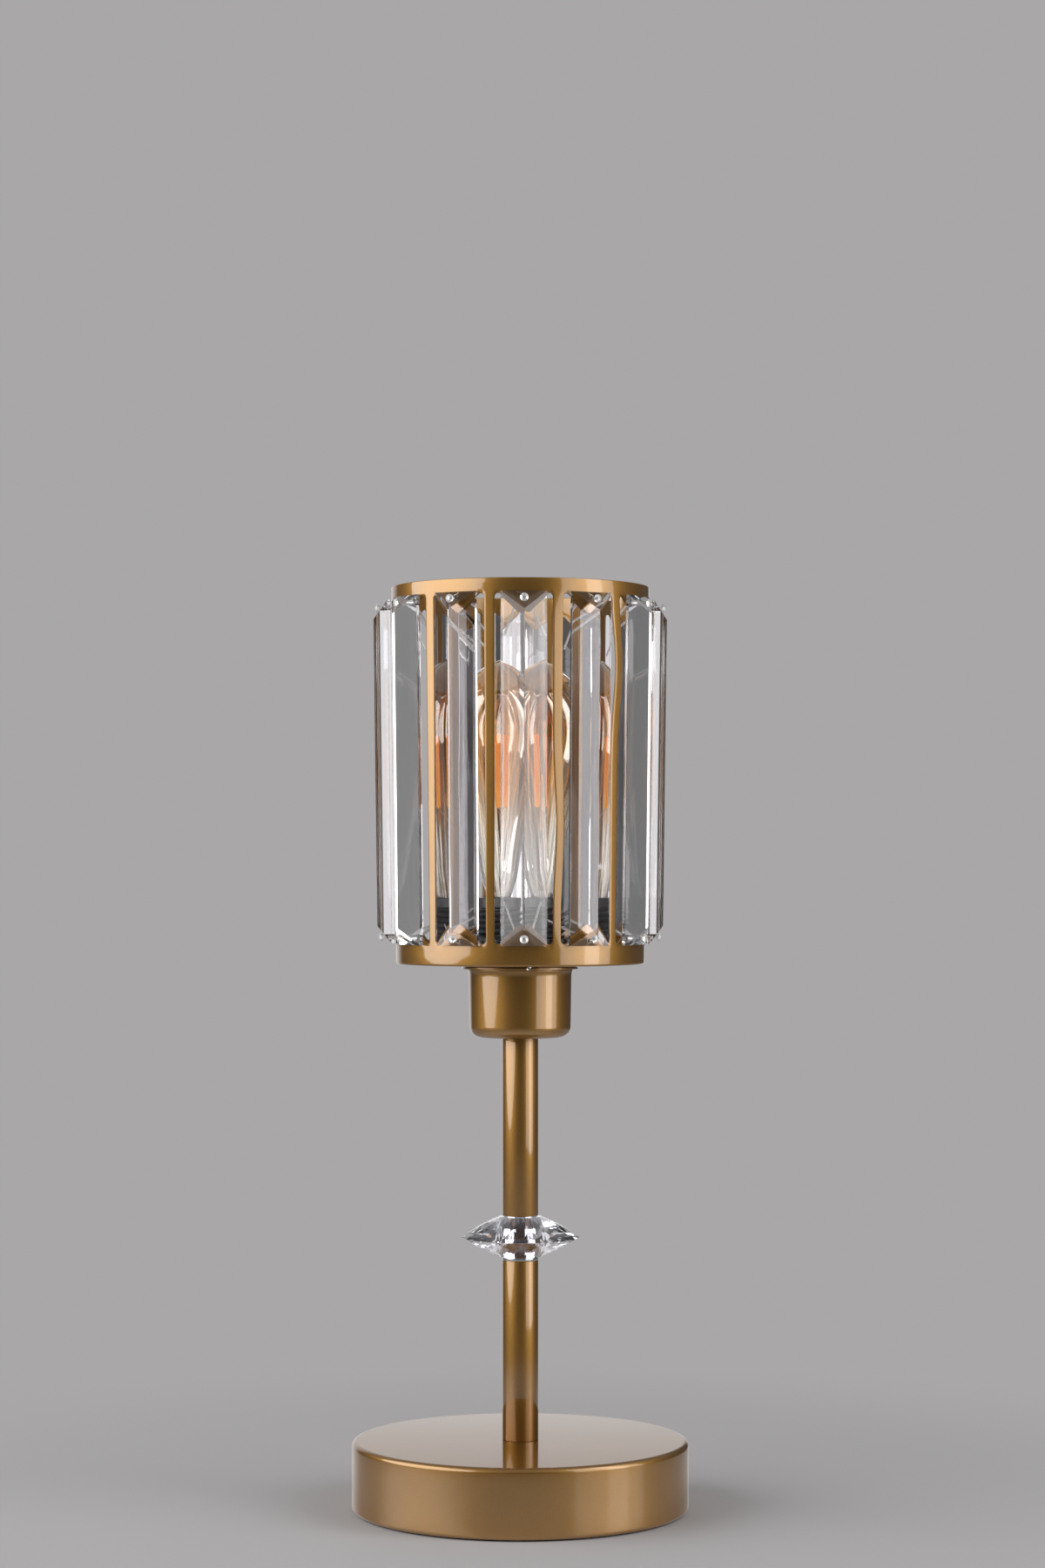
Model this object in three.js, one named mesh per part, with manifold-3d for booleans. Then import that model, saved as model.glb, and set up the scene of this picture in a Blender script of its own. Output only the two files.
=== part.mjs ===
// Table lamp: round weighted base, two-part stem with a faceted glass disc, metal cup, and a drum shade
// of twelve glass bars pinned over the windows of a sheet-metal frame, round a screw-in filament bulb.
// Millimetres, +Z up, front towards -Y. The origin is the centre of the underside of the base pad.
import * as THREE from "three";
import { ConvexGeometry } from "three/addons/geometries/ConvexGeometry.js";
import { mergeVertices } from "three/addons/utils/BufferGeometryUtils.js";
import Module from "manifold-3d";

const wasm = await Module();
wasm.setup();

// Clearances
const slipGap = 0.3; // radial gap where one round piece slides over another
const threadGap = 0.35; // radial gap between a male and a female thread
const restGap = 0.3; // gap under a piece that rests on a turned or curved neighbour
const overcut = 1; // how far a cutting shape runs past the face that it opens

// Base: pressed steel drum over a cast weight on a soft pad
const baseDiameter = 150;
const baseHeight = 31.3; // table to top face
const baseWall = 1;
const baseEdgeRadius = 2.4;
const hemRadius = 2; // bottom edge of the drum, rolled inwards
const hemLift = 0.5; // the rolled edge stays this far above the table
const padThickness = 2;
const padEdgeGap = 2; // pad edge to the rolled edge
const weightEdgeGap = 1; // weight edge to the rolled edge
const weightThickness = 13;
const bossDiameter = 34; // the weight's middle, which reaches up to the drum's top plate
const nutRecessGap = 2; // the recess's wall to the nut's flange
const nutPadGap = 0.6; // the rod's lower end to the pad
const slotGrommetGap = 0.6; // each side of the wire slot to the outlet's inner lip
const slotBossGap = 1; // the slot is open to the top from this far outside the boss

// Cord outlet at the back of the base
const outletSill = 2.2; // metal between the rolled edge and the outlet's hole
const outletBore = 7.4;
const outletWall = 1.3; // rubber between the bore and the hole in the drum
const outletLip = 1.4; // how far the outer and inner lips stand over the hole's edge
const outletLipThickness = 1.6;

// Hollow threaded rod that ties the lamp together, and its flange nut
const rodDiameter = 9.8;
const rodBore = 7;
const rodPastNut = 1;
const nutAcrossFlats = 17;
const nutHeight = 6;
const nutFlangeDiameter = 22;
const nutFlangeThickness = 1.4;

// Stem
const tubeDiameter = 16;
const tubeWall = 1.5;
const lowerTubeLength = 80.1;
const upperTubeLength = 79.5;

// Faceted glass disc on a chromed core
const collarHeight = 1.5; // chromed collar under the disc
const coreWallGap = 0.8; // the core's sleeve is this much smaller in radius than the stem
const coreHeight = 19.8; // lower tube to upper tube
const discDiameter = 52.8;
const discHeight = 18;
const girdleHeight = 8.6; // sharp edge above the disc's underside
const crownBreakDiameter = 36.4;
const crownBreakDrop = 4; // below the disc's top
const discTopLand = 1.5; // flat ring round the stem on top of the disc
const pavilionBreakDiameter = 35;
const pavilionBreakHeight = 3.8; // above the disc's underside
const discFootLand = 1.6; // flat ring round the stem under the disc
const discFacets = 16;

// Cup under the shade, and the split ring between cup and shade
const cupHolderGap = 1; // the lampholder's side to the cup's inside, at the foot
const cupFlare = 0.9; // how much the radius grows from foot to rim
const cupHeight = 30.5;
const cupCornerRadius = 5;
const cupWall = 1;
const splitRingOverhang = 2.5; // how far the ring stands out past the cup's rim
const splitRingHolderGap = 1; // the ring's bore to the lampholder's thread
const splitRingThickness = 2.3;
const splitRingSlit = 1.5;
const splitRingSlitOffset = 2.9; // slit centre to the right of the front

// Lampholder for a 27 mm screw cap, moulded in three pieces with a screwed shade ring
const holderBaseDiameter = 41.2;
const holderBaseHeight = 27;
const holderBaseFloor = 5;
const holderBaseChamfer = 4.2;
const holderBaseWall = 2.8; // round the mouth that the shell screws into
const holderLedgeHeight = 16.3; // ledge inside the base that carries the insert
const holderLedgeWidth = 2.3;
const insertFlangeThickness = 2;
const insertShellGap = 0.4; // the insert's side to the shell's bore
const insertLedgeGap = 0.9; // the insert's foot to the ledge's bore
const insertBodyBelow = 3;
const insertBodyAbove = 5.9;
const holderThreadDiameter = 40;
const holderThreadDepth = 1.1;
const holderThreadPitch = 2.55;
const holderThreadLength = 24;
const holderShellLength = 43; // the insert's flange to the lampholder's rim
const holderCollarHeight = 4.3;
const holderCollarDiameter = 38.8;
const shadeRingWall = 2.35;
const shadeRingHeight = 10.2;
const shadeRingGrips = 24;
const shadeRingGripDepth = 0.9;

// Contacts
const sleeveWall = 0.6;
const sleeveLength = 25;
const sleeveShellGap = 0.85; // the screw sleeve to the shell's bore
const contactStripWidth = 5;
const contactStripThickness = 0.5;
const contactReach = 4; // strip foot to the screw cap's tip
const contactRivetDiameter = 2.6;
const contactRivetTail = 1; // how far the rivet stands out under the insert

// Shade frame: conical sheet-metal drum with windows and pointed tabs that carry the glass bars
const shadeBottomDiameter = 110.7;
const shadeTopDiameter = 115;
const shadeHeight = 167.5;
const shadeWall = 1.2;
const shadeRimRadius = 0.9;
const floorThickness = 1.2;
const windowCount = 12;
const stripWidth = 3.75; // metal left between two windows at the shade's lower edge
const windowSill = 9.8; // shade's lower edge to the windows
const windowHeader = 6.7; // windows to the shade's upper edge
const windowCornerRadius = 1.6;
const tabSlope = 41.5; // rise of a tab's two sides to its tip, in degrees
const tabTipRadius = 2;

// Glass bars and their plastic pins
const barSideGap = 2.5; // a bar's long edge to the window's edge
const barThickness = 8;
const barEdge = 1.5; // glass thickness at the long edges
const barEndOverlap = 0.85; // how far a bar's end reaches over the metal past the window's end
const barFacetLength = 8; // sloped facet at each end
const pinInset = 3.1; // pin axis to the bar's end
const pinHoleGap = 0.7; // the pin's shank to its hole's wall
const pinDiameter = 1;
const pinHeadOverlap = 0.7; // how far the head covers the glass round its hole
const pinHeadThickness = 2.2;
const pinTail = 24; // length of the pin's tail inside the shade
const pinBend = 2;
// How far each tail hangs below (minus) or stands above its hole, in degrees, from the front anticlockwise
const upperTails = [-38, -52, -46, -40, -55, -44, -50, -42, -48, -57, -51, -40];
const lowerTails = [40, 18, 30, 12, 34, 22, 38, 16, 28, 20, 33, 14];
const tailSideways = 16; // largest turn of a tail to the side, in degrees

// Bulb: long teardrop filament lamp
const bulbLength = 140;
const bulbDiameter = 64;
const bulbWidestBelowTop = 33;
const shoulderDiameter = 34.4; // where the neck's curve runs into the slim lower body
const shoulderHeight = 41; // above the cap's tip, as the next two
const waistDiameter = 38;
const waistHeight = 51;
const bellyDiameter = 45.2;
const bellyHeight = 68;
const glassWall = 0.8;
const neckInCap = 4; // length of glass inside the cap
const capThreadDiameter = 26.4;
const capThreadDepth = 1.15;
const capThreadPitch = 3.629;
const capThreadStart = 6;
const capThreadLength = 16;
const capLength = 27;
const capSkirtDiameter = 26.2;
const capSkirtWall = 0.6;
const capWall = 1;
const capStep = 1; // height of the steps at both ends of the cap's thread
const capInsulatorDiameter = 21;
const tipDiameter = 9.6;
const tipHeight = 1.2;
const tipGap = 0.2;
const stemTop = 66; // cap's tip to the top of the glass stem
const stemDiameter = 6;
const stemFlareLength = 20; // where the stem widens to close the neck
const filamentGap = 8; // glass stem to the strips' lower ends
const filamentLength = 31;
const filamentDiameter = 1.9;
const filamentCount = 4;
const filamentFootRadius = 13.2;
const filamentHeadRadius = 13.9;
const wireDiameter = 0.8;
const wireSunk = 2; // length of each wire inside the glass stem
const spiderRise = 4; // strips' upper ends to where the top wires meet

// Base sizes and heights that follow
const rodHole = rodDiameter / 2 + slipGap;
const rodFoot = padThickness + nutPadGap;
const recessTop = rodFoot + rodPastNut + nutHeight + nutFlangeThickness;
const hemInnerRadius = baseDiameter / 2 - hemRadius;
const weightTop = padThickness + weightThickness;
const platePlane = baseHeight - baseWall; // underside of the drum's top plate
const outletHoleRadius = outletBore / 2 + outletWall + slipGap;
const outletHeight = hemLift + hemRadius + outletSill + outletHoleRadius; // table to the outlet's axis

// Stem and cup sizes and heights that follow
const coreBottom = baseHeight + lowerTubeLength;
const coreTop = coreBottom + coreHeight;
const discBottom = coreBottom + collarHeight;
const cupBottom = coreTop + upperTubeLength;
const cupFloor = cupBottom + cupWall;
const cupTop = cupBottom + cupHeight;
const cupFootRadius = holderBaseDiameter / 2 + cupHolderGap + cupWall;
const cupTopRadius = cupFootRadius + cupFlare;

// Lampholder sizes and heights that follow
const holderSocketRadius = holderBaseDiameter / 2 - holderBaseWall;
const holderBore = capThreadDiameter / 2 + threadGap + sleeveWall + sleeveShellGap;
const insertRadius = holderBore - insertShellGap;
const ledgeBore = holderSocketRadius - holderLedgeWidth;
const insertFootRadius = ledgeBore - insertLedgeGap;
const holderLedge = cupFloor + holderLedgeHeight;
const holderBaseTop = cupFloor + holderBaseHeight;
const shellBottom = holderLedge + insertFlangeThickness;
const shellTop = shellBottom + holderShellLength;
const insertTop = shellBottom + insertBodyAbove;
const insertFoot = holderLedge - insertBodyBelow;
const holderThreadTop = shellTop - holderCollarHeight;
const rivetOffset = insertFootRadius - contactStripWidth - contactRivetDiameter;

// Shade and glass-bar sizes and heights that follow
const shadeBottom = cupTop + splitRingThickness;
const shadeTop = shadeBottom + shadeHeight;
const floorTop = shadeBottom + floorThickness;
const flare = Math.atan((shadeTopDiameter - shadeBottomDiameter) / 2 / shadeHeight);
const stationAngle = (2 * Math.PI) / windowCount;
const windowWidth = shadeBottomDiameter * Math.sin(stationAngle / 2 - stripWidth / shadeBottomDiameter);
const windowHeight = shadeHeight - windowSill - windowHeader;
const windowMiddle = shadeBottom + windowSill + windowHeight / 2;
const tabTurn = THREE.MathUtils.degToRad(tabSlope);
const cornerReach = (windowCornerRadius * (1 + Math.sin(tabTurn) - Math.cos(tabTurn))) / Math.sin(tabTurn);
const tabFootHalf = windowWidth / 2 - cornerReach; // where a tab's side would meet the window's end
const tabTipMiddle = tabFootHalf * Math.tan(tabTurn) - tabTipRadius / Math.cos(tabTurn);
const barWidth = windowWidth - 2 * barSideGap;
const barLength = windowHeight + 2 * barEndOverlap;
const pinHeight = barLength / 2 - pinInset; // pin axis above and below the bar's middle
const pinHoleRadius = pinDiameter / 2 + pinHoleGap;

// Bulb sizes and heights that follow
const tipPlane = insertTop + contactReach + restGap;
const glassStart = capLength - neckInCap; // cap's tip to the glass's cut edge
const neckRadius = capSkirtDiameter / 2 - capSkirtWall - slipGap;

// Facets round a full turn; the shade's count is a multiple of its windows
const baseRound = 48;
const shadeRound = 3 * windowCount;
const cupRound = 36;
const stemRound = 24;
const bulbRound = 24;
const threadRound = 16;
const smallRound = 16;
const fineRound = 12;
const holeRound = 8;
const wireRound = 6;

const finishes = {
  goldPaint: { color: 0x9c794a, roughness: 0.34, metalness: 0.85 },
  castIron: { color: 0x3c3b3a, roughness: 0.75, metalness: 0.6 },
  softPad: { color: 0x222222, roughness: 0.95, metalness: 0 },
  blackRubber: { color: 0x1b1b1b, roughness: 0.8, metalness: 0 },
  zincSteel: { color: 0xa9a9a4, roughness: 0.4, metalness: 0.9 },
  chrome: { color: 0xd8dadd, roughness: 0.06, metalness: 1 },
  cutGlass: { color: 0xf2f4f6, roughness: 0.03, metalness: 0, opacity: 0.35 },
  clearPlastic: { color: 0xf4f4f2, roughness: 0.25, metalness: 0, opacity: 0.7 },
  bakelite: { color: 0x17181a, roughness: 0.42, metalness: 0 },
  brass: { color: 0xb99a55, roughness: 0.3, metalness: 1 },
  nickel: { color: 0xbdbab2, roughness: 0.28, metalness: 1 },
  amberGlass: { color: 0xd9a066, roughness: 0.03, metalness: 0, opacity: 0.4 },
  glowStrip: { color: 0xe8892f, roughness: 0.5, metalness: 0 },
};

// Merges shared corners, drops collapsed faces and turns the faces outwards, ready for joining and cutting.
function solid(geometry) {
  const bare = new THREE.BufferGeometry().setAttribute("position", geometry.getAttribute("position"));
  if (geometry.index) bare.setIndex(geometry.index);
  const merged = mergeVertices(bare, 1e-4);
  const corners = merged.index.array;
  const kept = [];
  for (let i = 0; i < corners.length; i += 3) {
    const [a, b, c] = corners.slice(i, i + 3);
    if (a !== b && b !== c && c !== a) kept.push(a, b, c);
  }
  const build = (triVerts) =>
    new wasm.Manifold(
      new wasm.Mesh({
        numProp: 3,
        vertProperties: new Float32Array(merged.attributes.position.array),
        triVerts: new Uint32Array(triVerts),
      }),
    );
  const made = build(kept);
  return made.volume() > 0 ? made : build(kept.reverse());
}

function geometryOf(made) {
  const mesh = made.getMesh();
  const points = new Float32Array(mesh.numVert * 3);
  for (let i = 0; i < mesh.numVert; i += 1) {
    points.set(mesh.vertProperties.subarray(i * mesh.numProp, i * mesh.numProp + 3), i * 3);
  }
  return new THREE.BufferGeometry()
    .setAttribute("position", new THREE.BufferAttribute(points, 3))
    .setIndex(new THREE.BufferAttribute(mesh.triVerts, 1));
}

const union = (geometries) => geometries.map(solid).reduce((all, next) => all.add(next));
const cut = (body, cutters) =>
  geometryOf(cutters.map(solid).reduce((left, next) => left.subtract(next), body));

// Turns a profile of [radius, height] pairs round +Z. It starts and ends on the axis, or is closed here.
function revolve(profile, facets) {
  const points = profile.map(([radius, height]) => new THREE.Vector2(radius, height));
  const [first, last] = [points[0], points[points.length - 1]];
  if (first.x > 0 || last.x > 0) points.push(first.clone());
  return geometryOf(solid(new THREE.LatheGeometry(points, facets).rotateX(Math.PI / 2)));
}

// Points on an arc of a [x, y] profile, angles in degrees.
function arc(x, y, radius, from, to, steps) {
  return Array.from({ length: steps + 1 }, (_, i) => {
    const angle = THREE.MathUtils.degToRad(from + ((to - from) * i) / steps);
    return [x + radius * Math.cos(angle), y + radius * Math.sin(angle)];
  });
}

const shapeOf = (points) => new THREE.Shape(points.map(([x, y]) => new THREE.Vector2(x, y)));

function cylinder(radius, from, to, facets) {
  return new THREE.CylinderGeometry(radius, radius, to - from, facets)
    .rotateX(Math.PI / 2)
    .translate(0, 0, (from + to) / 2);
}

// Round rod between two points.
function rodBetween(start, end, diameter, facets) {
  const along = new THREE.Vector3().subVectors(end, start);
  const heading = along.clone().normalize();
  const turn = new THREE.Quaternion().setFromUnitVectors(new THREE.Vector3(0, 1, 0), heading);
  return new THREE.CylinderGeometry(diameter / 2, diameter / 2, along.length(), facets)
    .applyQuaternion(turn)
    .translate(...start.clone().lerp(end, 0.5).toArray());
}

const plainRing = (radius, height) => () => [radius, height];

// Rings of a right-handed round thread: each follows the helix, is cut off level at both ends, and its
// depth fades out there towards the plain radius given.
function threadRings({ crest, depth, pitch, from, to, plain, datum }) {
  const samples = 4; // rings to a pitch
  const runOut = 0.6 * pitch;
  const count = Math.ceil((to - from) / pitch + 2) * samples;
  const firstTurn = Math.floor((from - datum) / pitch) - 1;
  return Array.from({ length: count + 1 }, (_, i) => (turn) => {
    const helixHeight = datum + (firstTurn + i / samples + turn) * pitch;
    const height = THREE.MathUtils.clamp(helixHeight, from, to);
    const wave = (1 + Math.cos((2 * Math.PI * i) / samples)) / 2;
    const fade = THREE.MathUtils.clamp(Math.min(height - from, to - height) / runOut, 0, 1);
    const cutRadius = crest - depth * (1 - wave);
    return [plain + (cutRadius - plain) * fade, height];
  });
}

// Joins rings, each a function of the share of a turn, into one closed skin round +Z. The last column lies
// on the first, one pitch further along where the rings follow a helix.
function ringBody(rings, facets) {
  const positions = [];
  const corners = [];
  rings.forEach((ring, i) => {
    const next = (i + 1) % rings.length;
    for (let j = 0; j <= facets; j += 1) {
      const [radius, height] = ring(j / facets);
      const angle = (2 * Math.PI * j) / facets;
      positions.push(radius * Math.cos(angle), radius * Math.sin(angle), height);
      if (j === facets) continue;
      const [a, c] = [i, next].map((row) => row * (facets + 1) + j);
      corners.push(a, a + 1, c + 1, a, c + 1, c);
    }
  });
  const skin = new THREE.BufferGeometry()
    .setAttribute("position", new THREE.Float32BufferAttribute(positions, 3))
    .setIndex(corners);
  return geometryOf(solid(skin));
}

// Base

function baseShell() {
  const outer = baseDiameter / 2;
  const edge = [outer - baseEdgeRadius, baseHeight - baseEdgeRadius];
  const hem = [hemInnerRadius, hemLift + hemRadius];
  const drum = revolve(
    [
      [rodHole, baseHeight],
      ...arc(...edge, baseEdgeRadius, 90, 0, 3),
      ...arc(...hem, hemRadius, 0, -90, 2),
      ...arc(...hem, hemRadius - baseWall, -90, 0, 1),
      ...arc(...edge, baseEdgeRadius - baseWall, 0, 90, 1),
      [rodHole, platePlane],
    ],
    baseRound,
  );
  const outlet = cylinder(outletHoleRadius, hemInnerRadius - hemRadius, outer + hemRadius, smallRound)
    .rotateX(-Math.PI / 2)
    .translate(0, 0, outletHeight);
  return cut(solid(drum), [outlet]);
}

function baseWeight() {
  const boss = bossDiameter / 2;
  const recess = nutFlangeDiameter / 2 + nutRecessGap;
  const casting = revolve(
    [
      [rodHole, recessTop],
      [recess, recessTop],
      [recess, padThickness],
      [hemInnerRadius - weightEdgeGap, padThickness],
      [hemInnerRadius - weightEdgeGap, weightTop],
      [boss, weightTop],
      [boss, platePlane],
      [rodHole, platePlane],
    ],
    baseRound,
  );
  const slotWidth = outletBore + 2 * (outletWall + outletLip + slotGrommetGap);
  const slot = (from, height) => {
    const length = baseDiameter / 2 - from;
    return new THREE.BoxGeometry(slotWidth, length, height).translate(0, from + length / 2, height / 2);
  };
  return cut(solid(casting), [slot(0, recessTop), slot(boss + slotBossGap, weightTop + overcut)]);
}

const basePad = () =>
  revolve(
    [
      [0, 0],
      [hemInnerRadius - padEdgeGap, 0],
      [hemInnerRadius - padEdgeGap, padThickness],
      [0, padThickness],
    ],
    baseRound,
  );

// Rubber bush whose two lips grip the hole in the drum; its own axis runs out through the back.
function cordGrommet() {
  const bore = outletBore / 2;
  const body = bore + outletWall;
  const lip = body + outletLip;
  const round = outletLipThickness / 2;
  const outerFace = baseDiameter / 2 + restGap;
  const innerFace = Math.sqrt((baseDiameter / 2 - baseWall) ** 2 - lip ** 2) - restGap;
  return revolve(
    [
      [bore, innerFace - outletLipThickness],
      [lip, innerFace - outletLipThickness],
      [lip, innerFace],
      [body, innerFace],
      [body, outerFace],
      [lip, outerFace],
      ...arc(lip - round, outerFace + round, round, 0, 90, 3),
      [bore, outerFace + outletLipThickness],
    ],
    smallRound,
  )
    .rotateX(-Math.PI / 2)
    .translate(0, 0, outletHeight);
}

// Tie rod and nut

const threadedRod = () =>
  revolve(
    [
      [rodBore / 2, rodFoot],
      [rodDiameter / 2, rodFoot],
      [rodDiameter / 2, cupFloor + holderBaseFloor + rodPastNut],
      [rodBore / 2, cupFloor + holderBaseFloor + rodPastNut],
    ],
    smallRound,
  );

function flangeNut() {
  const corner = nutAcrossFlats / Math.sqrt(3);
  const flangeFoot = recessTop - nutFlangeThickness;
  const depth = nutHeight + nutFlangeThickness / 2;
  const hexagon = shapeOf(arc(0, 0, corner, 0, 300, 5));
  const body = new THREE.ExtrudeGeometry(hexagon, { depth, bevelEnabled: false });
  const blank = union([
    body.translate(0, 0, flangeFoot - nutHeight),
    cylinder(nutFlangeDiameter / 2, flangeFoot, recessTop, smallRound),
  ]);
  return cut(blank, [cylinder(rodHole, 0, baseHeight, smallRound)]);
}

// Stem

const stemTube = (foot, length) =>
  revolve(
    [
      [tubeDiameter / 2 - tubeWall, foot],
      [tubeDiameter / 2, foot],
      [tubeDiameter / 2, foot + length],
      [tubeDiameter / 2 - tubeWall, foot + length],
    ],
    stemRound,
  );

const discCore = () =>
  revolve(
    [
      [rodHole, coreBottom],
      [tubeDiameter / 2, coreBottom],
      [tubeDiameter / 2, discBottom],
      [tubeDiameter / 2 - coreWallGap, discBottom],
      [tubeDiameter / 2 - coreWallGap, coreTop],
      [rodHole, coreTop],
    ],
    stemRound,
  );

// Cut-glass disc: two rows of facets above the sharp girdle and two below, each row half a facet round.
function crystalDisc() {
  const bore = tubeDiameter / 2 - coreWallGap + slipGap;
  const ring = (diameter, height, turn) =>
    arc(0, 0, diameter / 2, turn, 360 + turn - 360 / discFacets, discFacets - 1).map(
      ([x, y]) => new THREE.Vector3(x, y, discBottom + height),
    );
  const half = 180 / discFacets;
  const cutStone = new ConvexGeometry([
    ...ring(tubeDiameter + 2 * discFootLand, 0, 0),
    ...ring(pavilionBreakDiameter, pavilionBreakHeight, half),
    ...ring(discDiameter, girdleHeight, 0),
    ...ring(crownBreakDiameter, discHeight - crownBreakDrop, half),
    ...ring(tubeDiameter + 2 * discTopLand, discHeight, 0),
  ]);
  const drill = cylinder(bore, discBottom - overcut, discBottom + discHeight + overcut, stemRound);
  return cut(solid(cutStone), [drill]);
}

// Cup and split ring

function holderCup() {
  const corner = [cupFootRadius - cupCornerRadius, cupBottom + cupCornerRadius];
  return revolve(
    [
      [rodHole, cupBottom],
      ...arc(...corner, cupCornerRadius, -90, 0, 4),
      [cupTopRadius, cupTop],
      [cupTopRadius - cupWall, cupTop],
      ...arc(...corner, cupCornerRadius - cupWall, 0, -90, 3),
      [rodHole, cupFloor],
    ],
    cupRound,
  );
}

function splitRing() {
  const outer = cupTopRadius + splitRingOverhang;
  const bore = holderThreadDiameter / 2 + splitRingHolderGap;
  const ring = revolve(
    [
      [bore, cupTop],
      [outer, cupTop],
      [outer, shadeBottom],
      [bore, shadeBottom],
    ],
    cupRound,
  );
  const slit = new THREE.BoxGeometry(splitRingSlit, 2 * outer, 2 * splitRingThickness);
  return cut(solid(ring), [slit.translate(splitRingSlitOffset, -outer, (cupTop + shadeBottom) / 2)]);
}

// Lampholder

function holderBase() {
  const outer = holderBaseDiameter / 2;
  return revolve(
    [
      [rodHole, cupFloor],
      [outer - holderBaseChamfer, cupFloor],
      [outer, cupFloor + holderBaseChamfer],
      [outer, holderBaseTop],
      [holderSocketRadius, holderBaseTop],
      [holderSocketRadius, holderLedge],
      [ledgeBore, holderLedge],
      [ledgeBore, cupFloor + holderBaseFloor],
      [rodHole, cupFloor + holderBaseFloor],
    ],
    stemRound,
  );
}

function holderInsert() {
  const flange = holderSocketRadius - slipGap;
  const disc = revolve(
    [
      [0, insertFoot],
      [insertFootRadius, insertFoot],
      [insertFootRadius, holderLedge],
      [flange, holderLedge],
      [flange, shellBottom],
      [insertRadius, shellBottom],
      [insertRadius, insertTop],
      [0, insertTop],
    ],
    stemRound,
  );
  const holeRadius = contactRivetDiameter / 2 + slipGap;
  const rivetHole = cylinder(holeRadius, insertFoot - overcut, insertTop + overcut, fineRound);
  return cut(solid(disc), [rivetHole.translate(-rivetOffset, 0, 0)]);
}

// Sprung brass strip, riveted to the insert, that rises to the middle and touches the cap's tip.
function centreContact() {
  const half = contactStripThickness / 2;
  const foot = insertTop + half;
  const crest = insertTop + contactReach - half;
  const middle = [
    [-rivetOffset - contactRivetDiameter, foot],
    [-rivetOffset + contactRivetDiameter, foot],
    [-contactRivetDiameter / 2, crest],
    [contactRivetDiameter / 2, crest],
    [rivetOffset / 2, crest - contactReach / 4],
  ];
  const side = (shift) => middle.map(([x, z]) => [x, z + shift]);
  const outline = shapeOf([...side(-half), ...side(half).reverse()]);
  const strip = new THREE.ExtrudeGeometry(outline, { depth: contactStripWidth, bevelEnabled: false })
    .rotateX(Math.PI / 2)
    .translate(0, contactStripWidth / 2, 0);
  const rivet = cylinder(contactRivetDiameter / 2, insertFoot - contactRivetTail, foot, fineRound);
  return geometryOf(union([strip, rivet.translate(-rivetOffset, 0, 0)]));
}

// The screw thread's datum is shared, so the cap's ridges lie in the sleeve's grooves at rest.
const capThread = {
  depth: capThreadDepth,
  pitch: capThreadPitch,
  datum: tipPlane,
};

function screwSleeve() {
  const bore = capThreadDiameter / 2 + threadGap;
  const [foot, mouth] = [insertTop, insertTop + sleeveLength];
  const groove = threadRings({ ...capThread, crest: bore, plain: bore, from: foot, to: mouth });
  const outside = [plainRing(bore + sleeveWall, foot), plainRing(bore + sleeveWall, mouth)];
  return ringBody([...outside, ...groove.reverse()], threadRound);
}

// Outer shell, screwed into the base; its coarse outside thread carries the shade ring.
function holderShell() {
  const spigot = holderSocketRadius - slipGap;
  const root = holderThreadDiameter / 2 - holderThreadDepth;
  const shoulder = holderBaseTop + restGap;
  const collar = holderCollarDiameter / 2;
  const thread = threadRings({
    crest: holderThreadDiameter / 2,
    depth: holderThreadDepth,
    pitch: holderThreadPitch,
    datum: holderThreadTop,
    plain: root,
    from: holderThreadTop - holderThreadLength,
    to: holderThreadTop,
  });
  return ringBody(
    [
      plainRing(holderBore, shellBottom),
      plainRing(spigot, shellBottom),
      plainRing(spigot, shoulder),
      plainRing(root, shoulder),
      ...thread,
      plainRing(collar, holderThreadTop),
      plainRing(collar, shellTop),
      plainRing(holderBore, shellTop),
    ],
    threadRound,
  );
}

// Ring with finger grips that screws down on the shade's floor.
function shadeRing() {
  const bore = holderThreadDiameter / 2 + threadGap;
  const crest = bore + shadeRingWall;
  const corners = 2 * shadeRingGrips;
  const outline = shapeOf(
    arc(0, 0, 1, 0, 360 - 360 / corners, corners - 1).map(([x, y], i) => {
      const radius = crest - (i % 2) * shadeRingGripDepth;
      return [x * radius, y * radius];
    }),
  );
  const blank = new THREE.ExtrudeGeometry(outline, { depth: shadeRingHeight, bevelEnabled: false });
  return cut(solid(blank.translate(0, 0, floorTop)), [cylinder(bore, shadeBottom, shadeTop, stemRound)]);
}

// Shade frame and floor

const shadeRadiusAt = (height) => shadeBottomDiameter / 2 + (height - shadeBottom) * Math.tan(flare);

// Window outline round its own middle: four rounded corners, with a pointed tab between the two at each end.
function windowOutline() {
  const [halfWidth, halfHeight] = [windowWidth / 2, windowHeight / 2];
  const cornerX = halfWidth - windowCornerRadius;
  const cornerY = halfHeight - windowCornerRadius;
  const lowerEnd = [
    ...arc(-cornerX, -cornerY, windowCornerRadius, 180, 270 + tabSlope, 3),
    ...arc(0, tabTipMiddle - halfHeight, tabTipRadius, 90 + tabSlope, 90 - tabSlope, 2),
    ...arc(cornerX, -cornerY, windowCornerRadius, 270 - tabSlope, 360, 3),
  ];
  return [...lowerEnd, ...lowerEnd.map(([x, y]) => [-x, -y])];
}

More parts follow.
